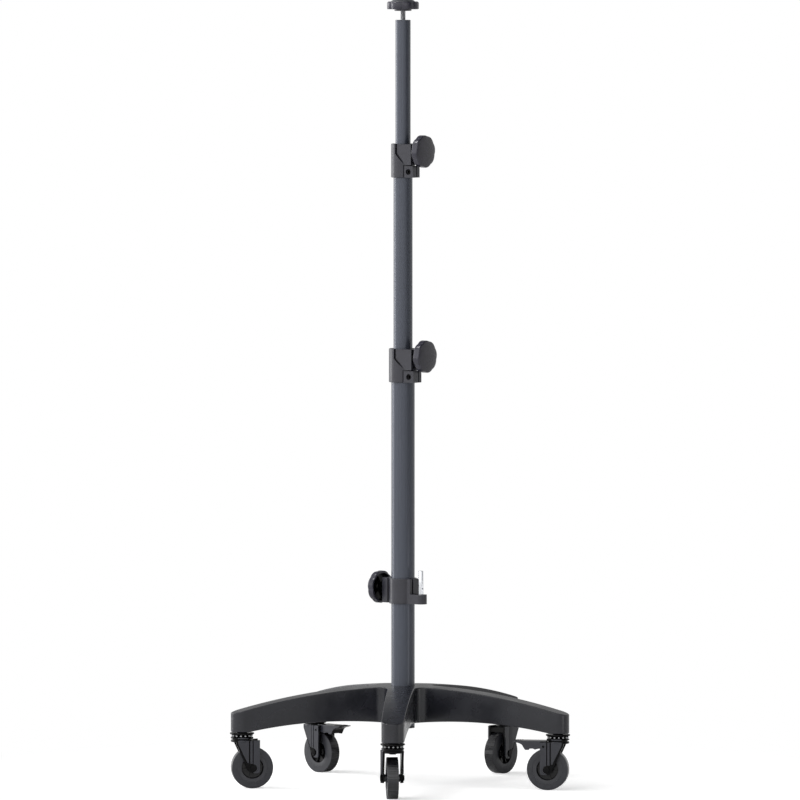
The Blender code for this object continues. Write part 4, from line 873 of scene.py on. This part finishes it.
def makeAccessory():
    v = accessoryShape
    low, high = nodeBox("accessory_collar")
    height = high.z - low.z
    linerInner = lowerTubeRadius + fitGap
    linerOuter = linerInner + v["linerWall"]
    bore = linerOuter + fitGap
    outer = bore + v["wall"]
    place = placeAlong((mastAxis.x, mastAxis.y, low.z), joints["accessory_knob_turn"]["axis"])
    collar = newPiece("accessoryCollar", spun(rod(outer, 0, height, v["rimEdge"]), 96), place)
    bossEnd = outer + v["bossReach"]
    foot, head = v["inset"], height - v["inset"]
    boss = brick(0, bossEnd, -v["bossHalfWidth"], v["bossHalfWidth"], foot, head)
    earEnd = outer + v["earReach"]
    ears = brick(-earEnd, 0, -v["earFar"], v["earNear"], foot, head)
    pinX = -(outer + v["pinReach"])
    armEnd = rounded((pinX, v["pinOffset"]), v["armHalfWidth"], 90, 270, 32)
    arm = slab([(-bore, v["pinOffset"] - v["armHalfWidth"]), (-bore, v["pinOffset"] + v["armHalfWidth"])] + armEnd,
               v["armLow"], v["armHeight"])
    merged(collar, "UNION", [boss, ears, arm])
    earCut = earEnd - v["inset"]
    armCut = earEnd + v["slitWidth"] / 3
    slitLow = v["slitOffset"] - v["slitWidth"] / 2
    slitHigh = v["slitOffset"] + v["slitWidth"] / 2
    slit = slab([(-bore / 2, slitLow), (-bore / 2, slitHigh), (-armCut, slitHigh), (-armCut, -outer),
                 (-earCut, -outer), (-earCut, slitLow)], -height, height * 2)
    eased(collar, v["edge"], 2, 40)
    thumb = shifted(barAlong("X", v["thumbBore"], 0, bossEnd * 2, 32), z=height - v["thumbDrop"])
    pinLow = v["armHeight"] - v["pinDepth"]
    pinHole = spun(rod(v["pinRadius"] + fitGap, pinLow - fitGap, height), 48)
    merged(collar, "DIFFERENCE", [spun(rod(bore, -height, height * 2), 96), slit, thumb,
                                  shifted(pinHole, pinX, v["pinOffset"])])
    # the dark line at the boss's root is a groove in both of its sides, just off the round body
    root = outer + v["grooveAway"]
    for side in (-1, 1):
        near, far = sorted((side * (v["bossHalfWidth"] - v["grooveDepth"]), side * outer))
        merged(collar, "DIFFERENCE", [brick(root, root + v["grooveWidth"], near, far, -height * 0.5, height * 1.5)])
    crisp(collar, 30)
    dressed(collar, finishes["clamp"], "clamp_plastic", "accessory_arm", "accessory_collar")

    liner = [(linerInner, 0), (linerOuter, 0), (linerOuter, height), (linerInner, height)]
    sleeve = smoothed(newPiece("accessoryLiner", spun(liner, 96), place))
    dressed(sleeve, finishes["liner"], "bush_nylon", "accessory_sleeve", "accessory_liner")

    pinTop = nodeBox("accessory_pin")[1].z - low.z
    pin = newPiece("accessoryPin", spun(rod(v["pinRadius"], pinLow, pinTop, v["pinEdge"]), 64), place)
    hole = barAlong("X", v["crossHole"], -0.01, 0.01, 24)
    merged(pin, "DIFFERENCE", [shifted(hole, z=v["crossHoleHeight"])])
    pin.data.transform(Matrix.Translation((pinX, v["pinOffset"], 0)))
    smoothed(pin)
    dressed(pin, finishes["chrome"], "pin_chrome", "accessory_arm", "accessory_pin")

    makeKnobAndScrew("accessory", "accessory", linerOuter + fitGap, bossEnd + fitGap)


makeAccessory()
print("accessory collar made")


# top knob, metres above the upper tube's end
topShape = {"plugDepth": 0.020, "plugEdge": 0.0005, "studRadius": 0.0048, "studPitch": 0.0015, "studThread": 0.0006,
            "knobHeight": 0.0164, "collarRadius": 0.0155, "collarEdge": 0.001, "hub": 0.0030, "brow": 0.0036,
            "browDrop": 0.0006, "capRadius": 0.0215, "capRise": 0.0055, "capSeat": 0.0012, "capEdge": 0.0004,
            "capSteps": 12, "lidDrop": 0.0012, "lidEdge": 0.0005}


def makeTop():
    v, k = topShape, knobShape
    tubeTop = nodeBox("upper_tube")[1].z
    place = Matrix.Translation((mastAxis.x, mastAxis.y, tubeTop))
    plugRadius = tubeRadius("upper_tube") - mastTubes["upper_tube"][1] - fitGap
    bore = v["studRadius"] + fitGap
    low, edge = -v["plugDepth"], v["plugEdge"]
    profile = [(bore, low), (plugRadius, low), (plugRadius, -edge), (plugRadius - edge, 0), (bore + edge, 0),
               (bore, -edge)]
    plug = smoothed(newPiece("topPlug", spun(profile, 96), place))
    dressed(plug, finishes["zinc"], "screw_steel", "upper_mast", "top_plug")
    thread = threaded(v["studRadius"], v["studThread"], v["studPitch"], low, v["knobHeight"] + k["depthOnScrew"], 48)
    stud = smoothed(newPiece("topStud", thread, place), 40)
    dressed(stud, finishes["zinc"], "screw_steel", "upper_mast", "top_stud")

    rimInner = k["radius"] - k["rim"]
    face = v["hub"] + k["thickness"]
    ceiling = v["hub"] + k["recess"] / 2
    boreEnd = k["depthOnScrew"] + fitGap
    lid = face - v["lidDrop"]
    edge = v["collarEdge"]
    profile = [(0, boreEnd), (bore, boreEnd), (bore, 0)]
    profile += rounded((v["collarRadius"] - edge, edge), edge, -90, 0, 3)
    profile += [(v["collarRadius"], ceiling), (rimInner, ceiling), (rimInner, v["hub"])]
    outer, back, brow = k["radius"], k["backEdge"], v["brow"]
    profile += rounded((outer - back, v["hub"] + back), back, -90, 0, 4)
    profile += rounded((outer - brow, face - v["browDrop"] - brow), brow, 0, 78, 8)
    well, floor = v["capRadius"] + fitGap, lid - v["capSeat"]
    profile += [(well + v["lidEdge"], lid), (well, lid - v["capEdge"]), (well, floor), (0, floor)]
    place = place @ Matrix.Translation((0, 0, v["knobHeight"]))
    knob = smoothed(newPiece("topKnob", spun(profile, 192, lobed), place), 34)
    dressed(knob, finishes["knob"], "knob_plastic", "top_knob_turning", "top_knob")
    seat = floor + fitGap
    radius, edge, steps = v["capRadius"], v["capEdge"], v["capSteps"]
    dome = [(0, seat), (radius - edge, seat), (radius, seat + edge), (radius, seat + v["capSeat"])]
    for step in range(1, steps + 1):
        angle = math.pi / 2 * step / steps
        dome.append((radius * math.cos(angle) if step < steps else 0,
                     seat + v["capSeat"] + v["capRise"] * math.sin(angle)))
    cap = smoothed(newPiece("topKnobCap", spun(dome, 96), place), 40)
    dressed(cap, finishes["cap"], "knob_cap_plastic", "top_knob_turning", "top_knob_cap")


makeTop()
print("top knob made")


# swivel castors, metres; Z is the swivel axis, X the way the wheel trails, zero on the floor
castorShape = {"stemRadius": 0.0055, "stemEdge": 0.001, "stemTop": 0.1265, "tipUnder": 0.1025, "neckRadius": 0.009,
               "neckFoot": 0.0004, "upperRace": 0.0220, "upperRaceLow": 0.0978, "upperRaceHigh": 0.1010,
               "raceDish": 0.0015, "kingPin": 0.004, "kingHead": 0.007, "kingHeadLow": 0.0815,
               "kingHeadHigh": 0.0837, "kingHeadEdge": 0.0015, "pinShoulder": 0.0953,
               "balls": 14, "ballRadius": 0.0019, "ballCircle": 0.0178, "ballHeight": 0.0955,
               "crown": 0.0205, "crownLow": 0.0840, "crownHigh": 0.0882, "waist": 0.0172, "lowerRace": 0.0206,
               "lowerRaceLow": 0.0900, "lowerRaceHigh": 0.0930, "lowerRaceTop": 0.0948,
               "legInner": 0.0147, "legOuter": 0.0177, "legEnd": 0.0094, "legTop": 0.088, "legFront": -0.0125,
               "legShoulder": 0.0815, "kneeX": 0.0045, "kneeZ": 0.0440, "legBack": 0.0125, "legCorner": 0.005,
               "rise": 0.0028, "plateRise": 0.0018, "raisedInto": 0.0005, "raisedBelow": 0.001, "stripInset": 0.0003,
               "stripFrom": 0.0005, "ribFrom": -0.0056, "ribTo": -0.0012, "plateTo": -0.0078, "plateInset": 0.0032,
               "plateLow": 0.003, "raisedLow": 0.0455, "grooveFloor": 0.0151, "grooveLow": 0.0011,
               "grooveHigh": 0.0023, "nutRoom": 0.0072, "edge": 0.0004, "cut": 0.03,
               "sideShift": 0.00013, "nutShift": 0.00023,    # these keep cuts off the planes of other faces
               "axleBore": 0.0033, "pinBore": 0.0023, "axleRadius": 0.003, "axleHead": 0.0058,
               "axleHeadRise": 0.0038, "axleEdge": 0.0005, "axleSunk": 0.0003, "pinRadius": 0.002,
               "pinEdge": 0.0004, "pinSunk": 0.0003}

wheelShape = {"radius": 0.0375, "halfWidth": 0.010, "tyreInner": 0.0270, "shoulder": 0.0008, "hub": 0.0070,
              "hubEdge": 0.0005, "hubFoot": 0.0015, "hubHalfLength": 0.0144, "recess": 0.0196, "recessEdge": 0.0006,
              "recessDraft": 0.0004, "recessFoot": 0.0008, "web": 0.0040, "bore": 0.0033, "line": 0.0001,
              "ribs": 6, "ribTurn": 11, "ribThickness": 0.0016, "ribInHub": 0.0006, "ribInRim": 0.0004,
              "ribSunk": 0.0026}


def castorFrame(name):
    swivel = Vector(joints[name + "_castor_swivel"]["pos_m"])
    hub = Vector(joints[name + "_wheel_roll"]["pos_m"])
    trailWay = Vector((hub.x - swivel.x, hub.y - swivel.y, 0))
    # rounded to 0.1 mm, so that the five castors come out alike
    return placeAlong((swivel.x, swivel.y, 0), trailWay), round(trailWay.length, 4), round(hub.z, 4)


def makeStem(name, place):
    v = castorShape
    high, low = v["upperRaceHigh"], v["upperRaceLow"]
    rim = (high - low) / 2
    neckTop = v["tipUnder"] - fitGap
    edge, foot = v["stemEdge"], v["neckFoot"]
    profile = [(0, v["stemTop"])] + rounded((v["stemRadius"] - edge, v["stemTop"] - edge), edge, 90, 0, 3)
    profile += [(v["stemRadius"], neckTop), (v["neckRadius"], neckTop), (v["neckRadius"], high + foot),
                (v["neckRadius"] + foot, high)]
    profile += rounded((v["upperRace"] - rim, low + rim), rim, 90, -90, 10)
    # the race is dished over the balls, and comes down to the king pin inside them
    inside = v["ballCircle"] - v["ballRadius"]
    profile += [(inside, low), (inside - v["raceDish"], v["pinShoulder"]), (v["kingPin"], v["pinShoulder"])]
    profile += [(v["kingPin"], v["kingHeadHigh"]), (v["kingHead"], v["kingHeadHigh"])]
    edge = v["kingHeadEdge"]
    profile += rounded((v["kingHead"] - edge, v["kingHeadLow"] + edge), edge, 0, -90, 4) + [(0, v["kingHeadLow"])]
    stem = smoothed(newPiece(name + "CastorStem", spun(profile, 72), place), 40)
    dressed(stem, finishes["blackSteel"], "castor_black_steel", "stand_base", "castor_" + name + "_stem")


def makeBalls(name, place):
    # the open row of bearing balls between the races
    v = castorShape
    balls = bmesh.new()
    for index in range(v["balls"]):
        angle = 2 * math.pi * index / v["balls"]
        spot = (v["ballCircle"] * math.cos(angle), v["ballCircle"] * math.sin(angle), v["ballHeight"])
        bmesh.ops.create_icosphere(balls, subdivisions=2, radius=v["ballRadius"], matrix=Matrix.Translation(spot))
    row = smoothed(newPiece(name + "CastorBalls", balls, place), 60)
    dressed(row, finishes["zinc"], "screw_steel", name + "_castor")


def crownProfile():
    # the fork's crown plate, a waist, and the lower race with its dish for the balls
    v = castorShape
    bore = v["kingPin"] + fitGap
    crownRim = (v["crownHigh"] - v["crownLow"]) / 2
    raceRim = (v["lowerRaceHigh"] - v["lowerRaceLow"]) / 2
    profile = [(bore, v["crownLow"])]
    profile += rounded((v["crown"] - crownRim, v["crownLow"] + crownRim), crownRim, -80, 60, 8)
    profile += [(v["waist"], v["crownHigh"]), (v["waist"], v["lowerRaceLow"])]
    profile += rounded((v["lowerRace"] - raceRim, v["lowerRaceLow"] + raceRim), raceRim, -85, 90, 10)
    inside = v["ballCircle"] - v["ballRadius"]
    return profile + [(inside, v["lowerRaceHigh"]), (inside - v["raceDish"], v["lowerRaceTop"]),
                      (bore, v["lowerRaceTop"])]


def forkLeg(side, trail, hubHeight):
    # pressed leg: a broad strip, a narrow rib and a three-cornered plate stand up, deep grooves between
    v = castorShape
    back = trail + v["legBack"]
    corner = (back - v["legCorner"], hubHeight - v["legEnd"] + v["legCorner"])
    top = v["legTop"] - v["raisedBelow"]
    outline = [(back, v["legTop"]), (v["legFront"] + v["raisedBelow"], v["legTop"]), (v["legFront"], top),
               (v["legFront"], v["legShoulder"]), (v["kneeX"], v["kneeZ"])]
    outline += rounded((trail, hubHeight), v["legEnd"], 190, 270, 14) + rounded(corner, v["legCorner"], 270, 360, 10)
    leg = newPiece("leg", sideSlab(outline, *sorted((side * v["legInner"], side * v["legOuter"]))))
    low, inset = v["raisedLow"], v["stripInset"]
    strip = [(trail + v["stripFrom"], top), (trail + v["stripFrom"], hubHeight - v["legEnd"] + inset)]
    strip += rounded(corner, v["legCorner"] - inset, 270, 360, 10) + [(back - inset, top)]
    rib = [(trail + v[end], z) for end, z in (("ribFrom", top), ("ribFrom", low), ("ribTo", low), ("ribTo", top))]
    plateLow = v["kneeZ"] + v["plateLow"]
    plate = [(trail + v["plateTo"], top), (trail + v["plateTo"], plateLow), (v["kneeX"] + v["plateInset"], plateLow),
             (v["legFront"] + v["plateInset"], v["legShoulder"]), (v["legFront"] + v["plateInset"], top)]
    for shape, rise in ((strip, v["rise"]), (rib, v["rise"]), (plate, v["plateRise"])):
        span = sorted((side * (v["legOuter"] - v["raisedInto"]), side * (v["legOuter"] + rise)))
        merged(leg, "UNION", [sideSlab(shape, *span)])
    eased(leg, v["edge"], 2, 40)
    floor = sorted((side * v["grooveFloor"], side * v["legOuter"] * 2))
    cuts = []
    for near, far in ((v["ribTo"], v["stripFrom"]), (v["plateTo"], v["ribFrom"])):
        cuts.append(brick(trail + near + v["sideShift"], trail + far - v["sideShift"], *floor,
                          low + v["grooveLow"], top - v["grooveHigh"]))
    nutRoom = sorted((-side * (v["legOuter"] + v["nutShift"]), -side * v["legOuter"] * 2))
    cuts.append(shifted(turnedBy(spun(rod(v["nutRoom"], *nutRoom), 48), 90, "X"), trail, 0, hubHeight))
    return merged(leg, "DIFFERENCE", cuts)


def makeFork(name, place, trail, hubHeight, braked):
    v = castorShape
    fork = newPiece(name + "CastorFork", spun(crownProfile(), 96), place)
    for side in (1, -1):
        mergedWith(fork, "UNION", forkLeg(side, trail, hubHeight))
    holes = [shifted(barAlong("Y", v["axleBore"], -v["cut"], v["cut"], 32), trail, 0, hubHeight)]
    if braked:
        pivot = pedalPivot(name, place)
        holes.append(shifted(barAlong("Y", v["pinBore"], -v["cut"], v["cut"], 24), pivot.x, 0, pivot.z))
    merged(fork, "DIFFERENCE", holes)
    crisp(fork, 30)
    dressed(fork, finishes["forkSteel"], "castor_black_steel", name + "_castor", "castor_" + name + "_fork")


def axleFrame(place, trail, hubHeight):
    # Z along the axle, zero at the wheel's middle
    return place @ Matrix.Translation((trail, 0, hubHeight)) @ Matrix.Rotation(math.pi / 2, 4, "X")


def pedalPivot(name, place):
    return place.inverted() @ Vector(joints[name + "_brake_press"]["pos_m"])


def makeAxle(name, place, trail, hubHeight):
    # a bolt with a six-sided head and nut, on both sides of the fork
    v = castorShape
    seat = v["legOuter"] + fitGap
    out = seat + v["axleHeadRise"]
    half = out - v["axleSunk"]
    bolt = newPiece(name + "CastorAxle", spun(rod(v["axleRadius"], -half, half), 32),
                    axleFrame(place, trail, hubHeight))
    heads = [spun(rod(v["axleHead"], low, high), 6) for low, high in ((seat, out), (-out, -seat))]
    merged(bolt, "UNION", heads)
    eased(bolt, v["axleEdge"], 2, 40)
    crisp(bolt, 30)
    dressed(bolt, finishes["blackSteel"], "castor_black_steel", name + "_castor", "castor_" + name + "_axle")


def makeWheel(name, place, trail, hubHeight):
    v = wheelShape
    axle = axleFrame(place, trail, hubHeight)
    # the fine line between the wheel's centre and its tyre is a step of this size in both
    line = v["line"]
    face = v["halfWidth"] - line
    edge = v["recessEdge"]
    half = [(v["tyreInner"] - line, face - line * 2), (v["tyreInner"] - line * 2, face)]
    half += [(v["recess"] + edge, face)] + rounded((v["recess"] + edge, face - edge), edge, 90, 180, 4)[1:]
    recess, web, hub, end = v["recess"] - v["recessDraft"], v["web"], v["hub"], v["hubHalfLength"]
    half += [(recess, web + v["recessFoot"]), (recess - v["recessFoot"], web), (hub + v["hubFoot"], web),
             (hub, web + v["hubFoot"]), (hub, end - v["hubEdge"]), (hub - v["hubEdge"], end), (v["bore"], end)]
    profile = half + [(radius, -height) for radius, height in reversed(half)]
    core = newPiece(name + "WheelCore", spun(profile, 96), axle)
    ribs = []
    ribTop = face - v["ribSunk"]
    for index in range(v["ribs"]):
        rib = brick(hub - v["ribInHub"], v["recess"] + v["ribInRim"], -v["ribThickness"] / 2, v["ribThickness"] / 2,
                    -ribTop, ribTop)
        ribs.append(turnedBy(rib, 360 * index / v["ribs"] + v["ribTurn"], "Z"))
    merged(core, "UNION", ribs)
    smoothed(core, 35)
    dressed(core, finishes["wheel"], "wheel_plastic", name + "_wheel", "castor_" + name + "_wheel_core")
    shoulder = v["shoulder"]
    upper = rounded((v["radius"] - shoulder, v["halfWidth"] - shoulder), shoulder, 0, 90, 6)
    upper += [(v["tyreInner"] + line, v["halfWidth"]), (v["tyreInner"], face)]
    profile = upper + [(radius, -height) for radius, height in reversed(upper)]
    tyre = smoothed(newPiece(name + "Tyre", spun(profile, 144), axle), 40)
    dressed(tyre, finishes["tyre"], "tyre_rubber", name + "_wheel", "castor_" + name + "_tyre")


# brake pedals, metres in the castor's frame, drawn released
pedalShape = {"length": 0.081, "top": 0.0892, "halfWidth": 0.0141, "cheek": 0.002, "topPlate": 0.0025,
              "front": 0.0212, "frontFoot": 0.003, "barrel": 0.0042, "tip": 0.0014, "edge": 0.0006,
              "padGap": 0.0010, "press": 12.0,    # brake pad: its gap to the tyre once pressed by 12 degrees
              "channelFrom": 0.0415, "channelTo": 0.0590, "channelLow": 0.060, "ribCount": 3, "ribStart": 0.006,
              "ribRise": 0.0006, "ribWidth": 0.0016, "ribPitch": 0.0042, "ribInto": 0.0004,
              # the hooked underside: shelf, fang, and the sweep up to the thin tip
              "underside": ((0.0435, 0.0752), (0.0500, 0.0752), (0.0512, 0.0727), (0.0580, 0.0727), (0.0600, 0.0755),
                            (0.0622, 0.0795), (0.0647, 0.0826), (0.0690, 0.0848), (0.0750, 0.0862))}


def makePedal(name, place, trail, hubHeight):
    v, c = pedalShape, castorShape
    pivot = pedalPivot(name, place)
    turn = Matrix.Rotation(math.radians(v["press"]), 2)
    pad = []
    for x, z in rounded((trail, hubHeight), wheelShape["radius"] + v["padGap"], 74, 58, 4):
        lifted = turn @ Vector((x - pivot.x, z - pivot.z))
        pad.append((pivot.x + lifted.x, pivot.z + lifted.y))
    outline = [(v["length"], v["top"]), (v["front"], v["top"]), (v["front"], pivot.z + v["frontFoot"])]
    outline += rounded((pivot.x, pivot.z), v["barrel"], 180, 270, 8) + pad
    outline += [*v["underside"], (v["length"], v["top"] - v["tip"])]
    pedal = newPiece(name + "BrakePedal", sideSlab(outline, -v["halfWidth"], v["halfWidth"]), place)
    eased(pedal, v["edge"], 2, 40)
    inner = v["halfWidth"] - v["cheek"]
    channel = brick(v["channelFrom"], v["channelTo"], -inner, inner, v["channelLow"], v["top"] - v["topPlate"])
    hole = shifted(barAlong("Y", c["pinBore"], -c["cut"], c["cut"], 24), pivot.x, 0, pivot.z)
    merged(pedal, "DIFFERENCE", [channel, hole])
    ribs = []
    for index in range(v["ribCount"]):
        start = v["length"] - v["ribStart"] - index * v["ribPitch"]
        ribs.append(brick(start - v["ribWidth"], start, -inner, inner, v["top"] - v["ribInto"],
                          v["top"] + v["ribRise"]))
    merged(pedal, "UNION", ribs)
    crisp(pedal, 30)
    dressed(pedal, finishes["pedalSteel"], "castor_black_steel", name + "_brake", "castor_" + name + "_brake_pedal")
    reach = c["legOuter"] + c["rise"] - c["pinSunk"]
    bar = shifted(barAlong("Y", c["pinRadius"], -reach, reach, 24, c["pinEdge"]), pivot.x, 0, pivot.z)
    pin = smoothed(newPiece(name + "BrakePin", bar, place))
    dressed(pin, finishes["blackSteel"], "screw_steel", name + "_castor", "castor_" + name + "_brake_pin")


for name in ("front", "right", "back_right", "back_left", "left"):
    place, trail, hubHeight = castorFrame(name)
    braked = name + "_brake_press" in joints
    makeStem(name, place)
    makeBalls(name, place)
    makeFork(name, place, trail, hubHeight, braked)
    makeAxle(name, place, trail, hubHeight)
    makeWheel(name, place, trail, hubHeight)
    if braked:
        makePedal(name, place, trail, hubHeight)
print("castors made")


# pieces inside the stand, or barely showing, stay as the CAD solids with their own finish
keptNodes = {"mast_grub_screw": "zinc", "mast_foot_plug": "liner", "middle_guide_bush": "liner",
             "upper_guide_bush": "liner", "lower_clamp_liner_bush": "liner", "upper_clamp_liner_bush": "liner"}
for node, finish in keptNodes.items():
    kept = frame["nodes"][node]
    kept.data.materials.clear()
    kept.data.materials.append(finishes[finish])
print("inner pieces finished")


# studio: white floor and white surroundings that light the stand mostly from the front left, a tall
# strip light at the back left that draws the bright line down the tubes, and a soft light above
studio = {"floorSize": 30.0, "floorColour": "#E6E6E6", "floorGlow": 0.55, "floorMirrored": 0.45,
          "fadeNear": 0.25, "fadeFar": 0.95, "ambient": 0.05, "glossy": 0.06, "aimHeight": 0.6,
          # swells of the surroundings: the way they lie in, where they start (1 is straight there), level
          "side": ((-0.90, -0.42, 0.12), 0.2, 3.3),
          "mirrored": (((-0.35, -0.93, 0.1), 0.0, 1.55),      # front
                       ((-0.9, 0.44, 0.0), 0.1, 0.60),        # left
                       ((0.8, 0.6, 0.0), 0.4, 0.75),          # back right
                       ((-0.88, 0.475, 0.0), 0.72, 1.7)),     # bright edge at the left
          # lamps: width and height in metres, watts, place
          "lamps": {"stripLight": ((0.5, 2.6), 21.0, (-2.8, 1.1, 1.0)),
                    "topLight": ((2.2, 2.2), 6.0, (-0.4, -0.8, 3.4)),
                    "lowLight": ((0.25, 0.35), 0.45, (1.1, -0.62, 0.17)),
                    "backLight": ((0.7, 0.7), 20.0, (-1.6, 0.3, 3.4))}}
plainWhite = (1.0, 1.0, 1.0, 1.0)


def sideGlow(tree, way, base, towards, start, level):
    # a level that swells from its base towards one side of the surroundings
    facing = addNode(tree, "ShaderNodeVectorMath", {"operation": "DOT_PRODUCT", 1: towards}, {0: way})
    soft = addNode(tree, "ShaderNodeMapRange",
                   {"interpolation_type": "SMOOTHSTEP", "From Min": start, "From Max": 1.0, "To Max": level},
                   {"Value": facing.outputs["Value"]})
    total = addNode(tree, "ShaderNodeMath", {"operation": "ADD"}, {0: soft.outputs["Result"]})
    if isinstance(base, float):
        total.inputs[1].default_value = base
    else:
        tree.links.new(base, total.inputs[1])
    return total.outputs[0]


def makeWorld():
    # the camera sees plain white; what the glossy surfaces mirror has a level of its own on each side
    world = bpy.data.worlds.new("whiteStudio")
    bpy.context.scene.world = world
    world.use_nodes = True
    tree = world.node_tree
    tree.nodes.clear()
    way = addNode(tree, "ShaderNodeTexCoord").outputs["Generated"]
    rays = addNode(tree, "ShaderNodeLightPath")
    lit = sideGlow(tree, way, studio["ambient"], *studio["side"])
    mirrored = studio["glossy"]
    for swell in studio["mirrored"]:
        mirrored = sideGlow(tree, way, mirrored, *swell)
    glossy = addNode(tree, "ShaderNodeMix", {"data_type": "FLOAT"},
                     {0: rays.outputs["Is Glossy Ray"], 2: lit, 3: mirrored})
    seen = addNode(tree, "ShaderNodeMath", {"operation": "MAXIMUM"},
                   {0: rays.outputs["Is Camera Ray"], 1: rays.outputs["Is Transmission Ray"]})
    strength = addNode(tree, "ShaderNodeMath", {"operation": "MAXIMUM"}, {0: seen.outputs[0], 1: glossy.outputs[0]})
    back = addNode(tree, "ShaderNodeBackground", {"Color": plainWhite}, {"Strength": strength.outputs[0]})
    addNode(tree, "ShaderNodeOutputWorld", None, {"Surface": back.outputs[0]})


def makeFloor():
    half = studio["floorSize"] / 2
    mesh = bmesh.new()
    mesh.faces.new([mesh.verts.new((x * half, y * half, 0)) for x, y in ((-1, -1), (1, -1), (1, 1), (-1, 1))])
    data = bpy.data.meshes.new("studioFloor")
    mesh.to_mesh(data)
    mesh.free()
    floor = bpy.data.objects.new("studioFloor", data)
    bpy.context.scene.collection.objects.link(floor)
    # painted white floor: the camera sees it glow a little, and it fades to plain white away from the
    # stand, so that only the soft shadow between the castors shows
    material, tree, shader, where = newFinish("mattePaintedFloor", studio["floorColour"], 0.9)
    rays = addNode(tree, "ShaderNodeLightPath")
    seen = addNode(tree, "ShaderNodeMath", {"operation": "MULTIPLY", 1: studio["floorGlow"]},
                   {0: rays.outputs["Is Camera Ray"]})
    shader.inputs["Emission Color"].default_value = plainWhite
    tree.links.new(seen.outputs[0], shader.inputs["Emission Strength"])
    away = addNode(tree, "ShaderNodeVectorMath", {"operation": "LENGTH"}, {0: where})
    fade = addNode(tree, "ShaderNodeMapRange", {"interpolation_type": "SMOOTHSTEP", "From Min": studio["fadeNear"],
                                                "From Max": studio["fadeFar"]}, {"Value": away.outputs["Value"]})
    mirrored = addNode(tree, "ShaderNodeMath", {"operation": "MULTIPLY", 1: studio["floorMirrored"]},
                       {0: rays.outputs["Is Glossy Ray"]})
    plain = addNode(tree, "ShaderNodeMath", {"operation": "MAXIMUM"},
                    {0: rays.outputs["Is Camera Ray"], 1: mirrored.outputs[0]})
    share = addNode(tree, "ShaderNodeMath", {"operation": "MULTIPLY"},
                    {0: fade.outputs["Result"], 1: plain.outputs[0]})
    white = addNode(tree, "ShaderNodeEmission", {"Color": plainWhite, "Strength": 1.0})
    mixed = addNode(tree, "ShaderNodeMixShader", None,
                    {0: share.outputs[0], 1: shader.outputs[0], 2: white.outputs[0]})
    tree.links.new(mixed.outputs[0], tree.nodes["Material Output"].inputs["Surface"])
    floor.data.materials.append(material)


def makeSoftLight(name, size, power, place):
    # an oblong lamp that faces the stand
    light = bpy.data.lights.new(name, "AREA")
    light.shape = "RECTANGLE"
    light.size, light.size_y = size
    light.energy = power
    lamp = bpy.data.objects.new(name, light)
    bpy.context.scene.collection.objects.link(lamp)
    lamp.location = place
    aim = Vector((0, 0, min(studio["aimHeight"], place[2])))
    lamp.rotation_euler = (aim - Vector(place)).to_track_quat("-Z", "Y").to_euler()


# camera: a long lens far away, a little to the right of the front arm and 1.7 m above the floor
cameraShape = {"azimuth": 3.5, "distance": 18.1, "height": 1.70, "aimHeight": 0.6975, "aimRight": -0.0054,
               "lensMm": 451.0, "sensorMm": 36.0}


def makeCamera():
    v = cameraShape
    turn = math.radians(v["azimuth"])
    right = Vector((math.cos(turn), math.sin(turn), 0))
    aim = mastAxis + Vector((0, 0, v["aimHeight"])) + right * v["aimRight"]
    spot = aim + Vector((math.sin(turn), -math.cos(turn), 0)) * v["distance"]
    spot.z = v["height"]
    data = bpy.data.cameras.new("photoCamera")
    data.sensor_width = v["sensorMm"]
    data.lens = v["lensMm"]
    data.clip_end = 100.0
    camera = bpy.data.objects.new("photoCamera", data)
    bpy.context.scene.collection.objects.link(camera)
    camera.location = spot
    camera.rotation_euler = (aim - spot).to_track_quat("-Z", "Y").to_euler()
    bpy.context.scene.camera = camera


makeWorld()
makeFloor()
for name, (size, power, place) in studio["lamps"].items():
    makeSoftLight(name, size, power, place)
makeCamera()
bpy.context.scene.view_settings.view_transform = "Standard"
print("studio made")
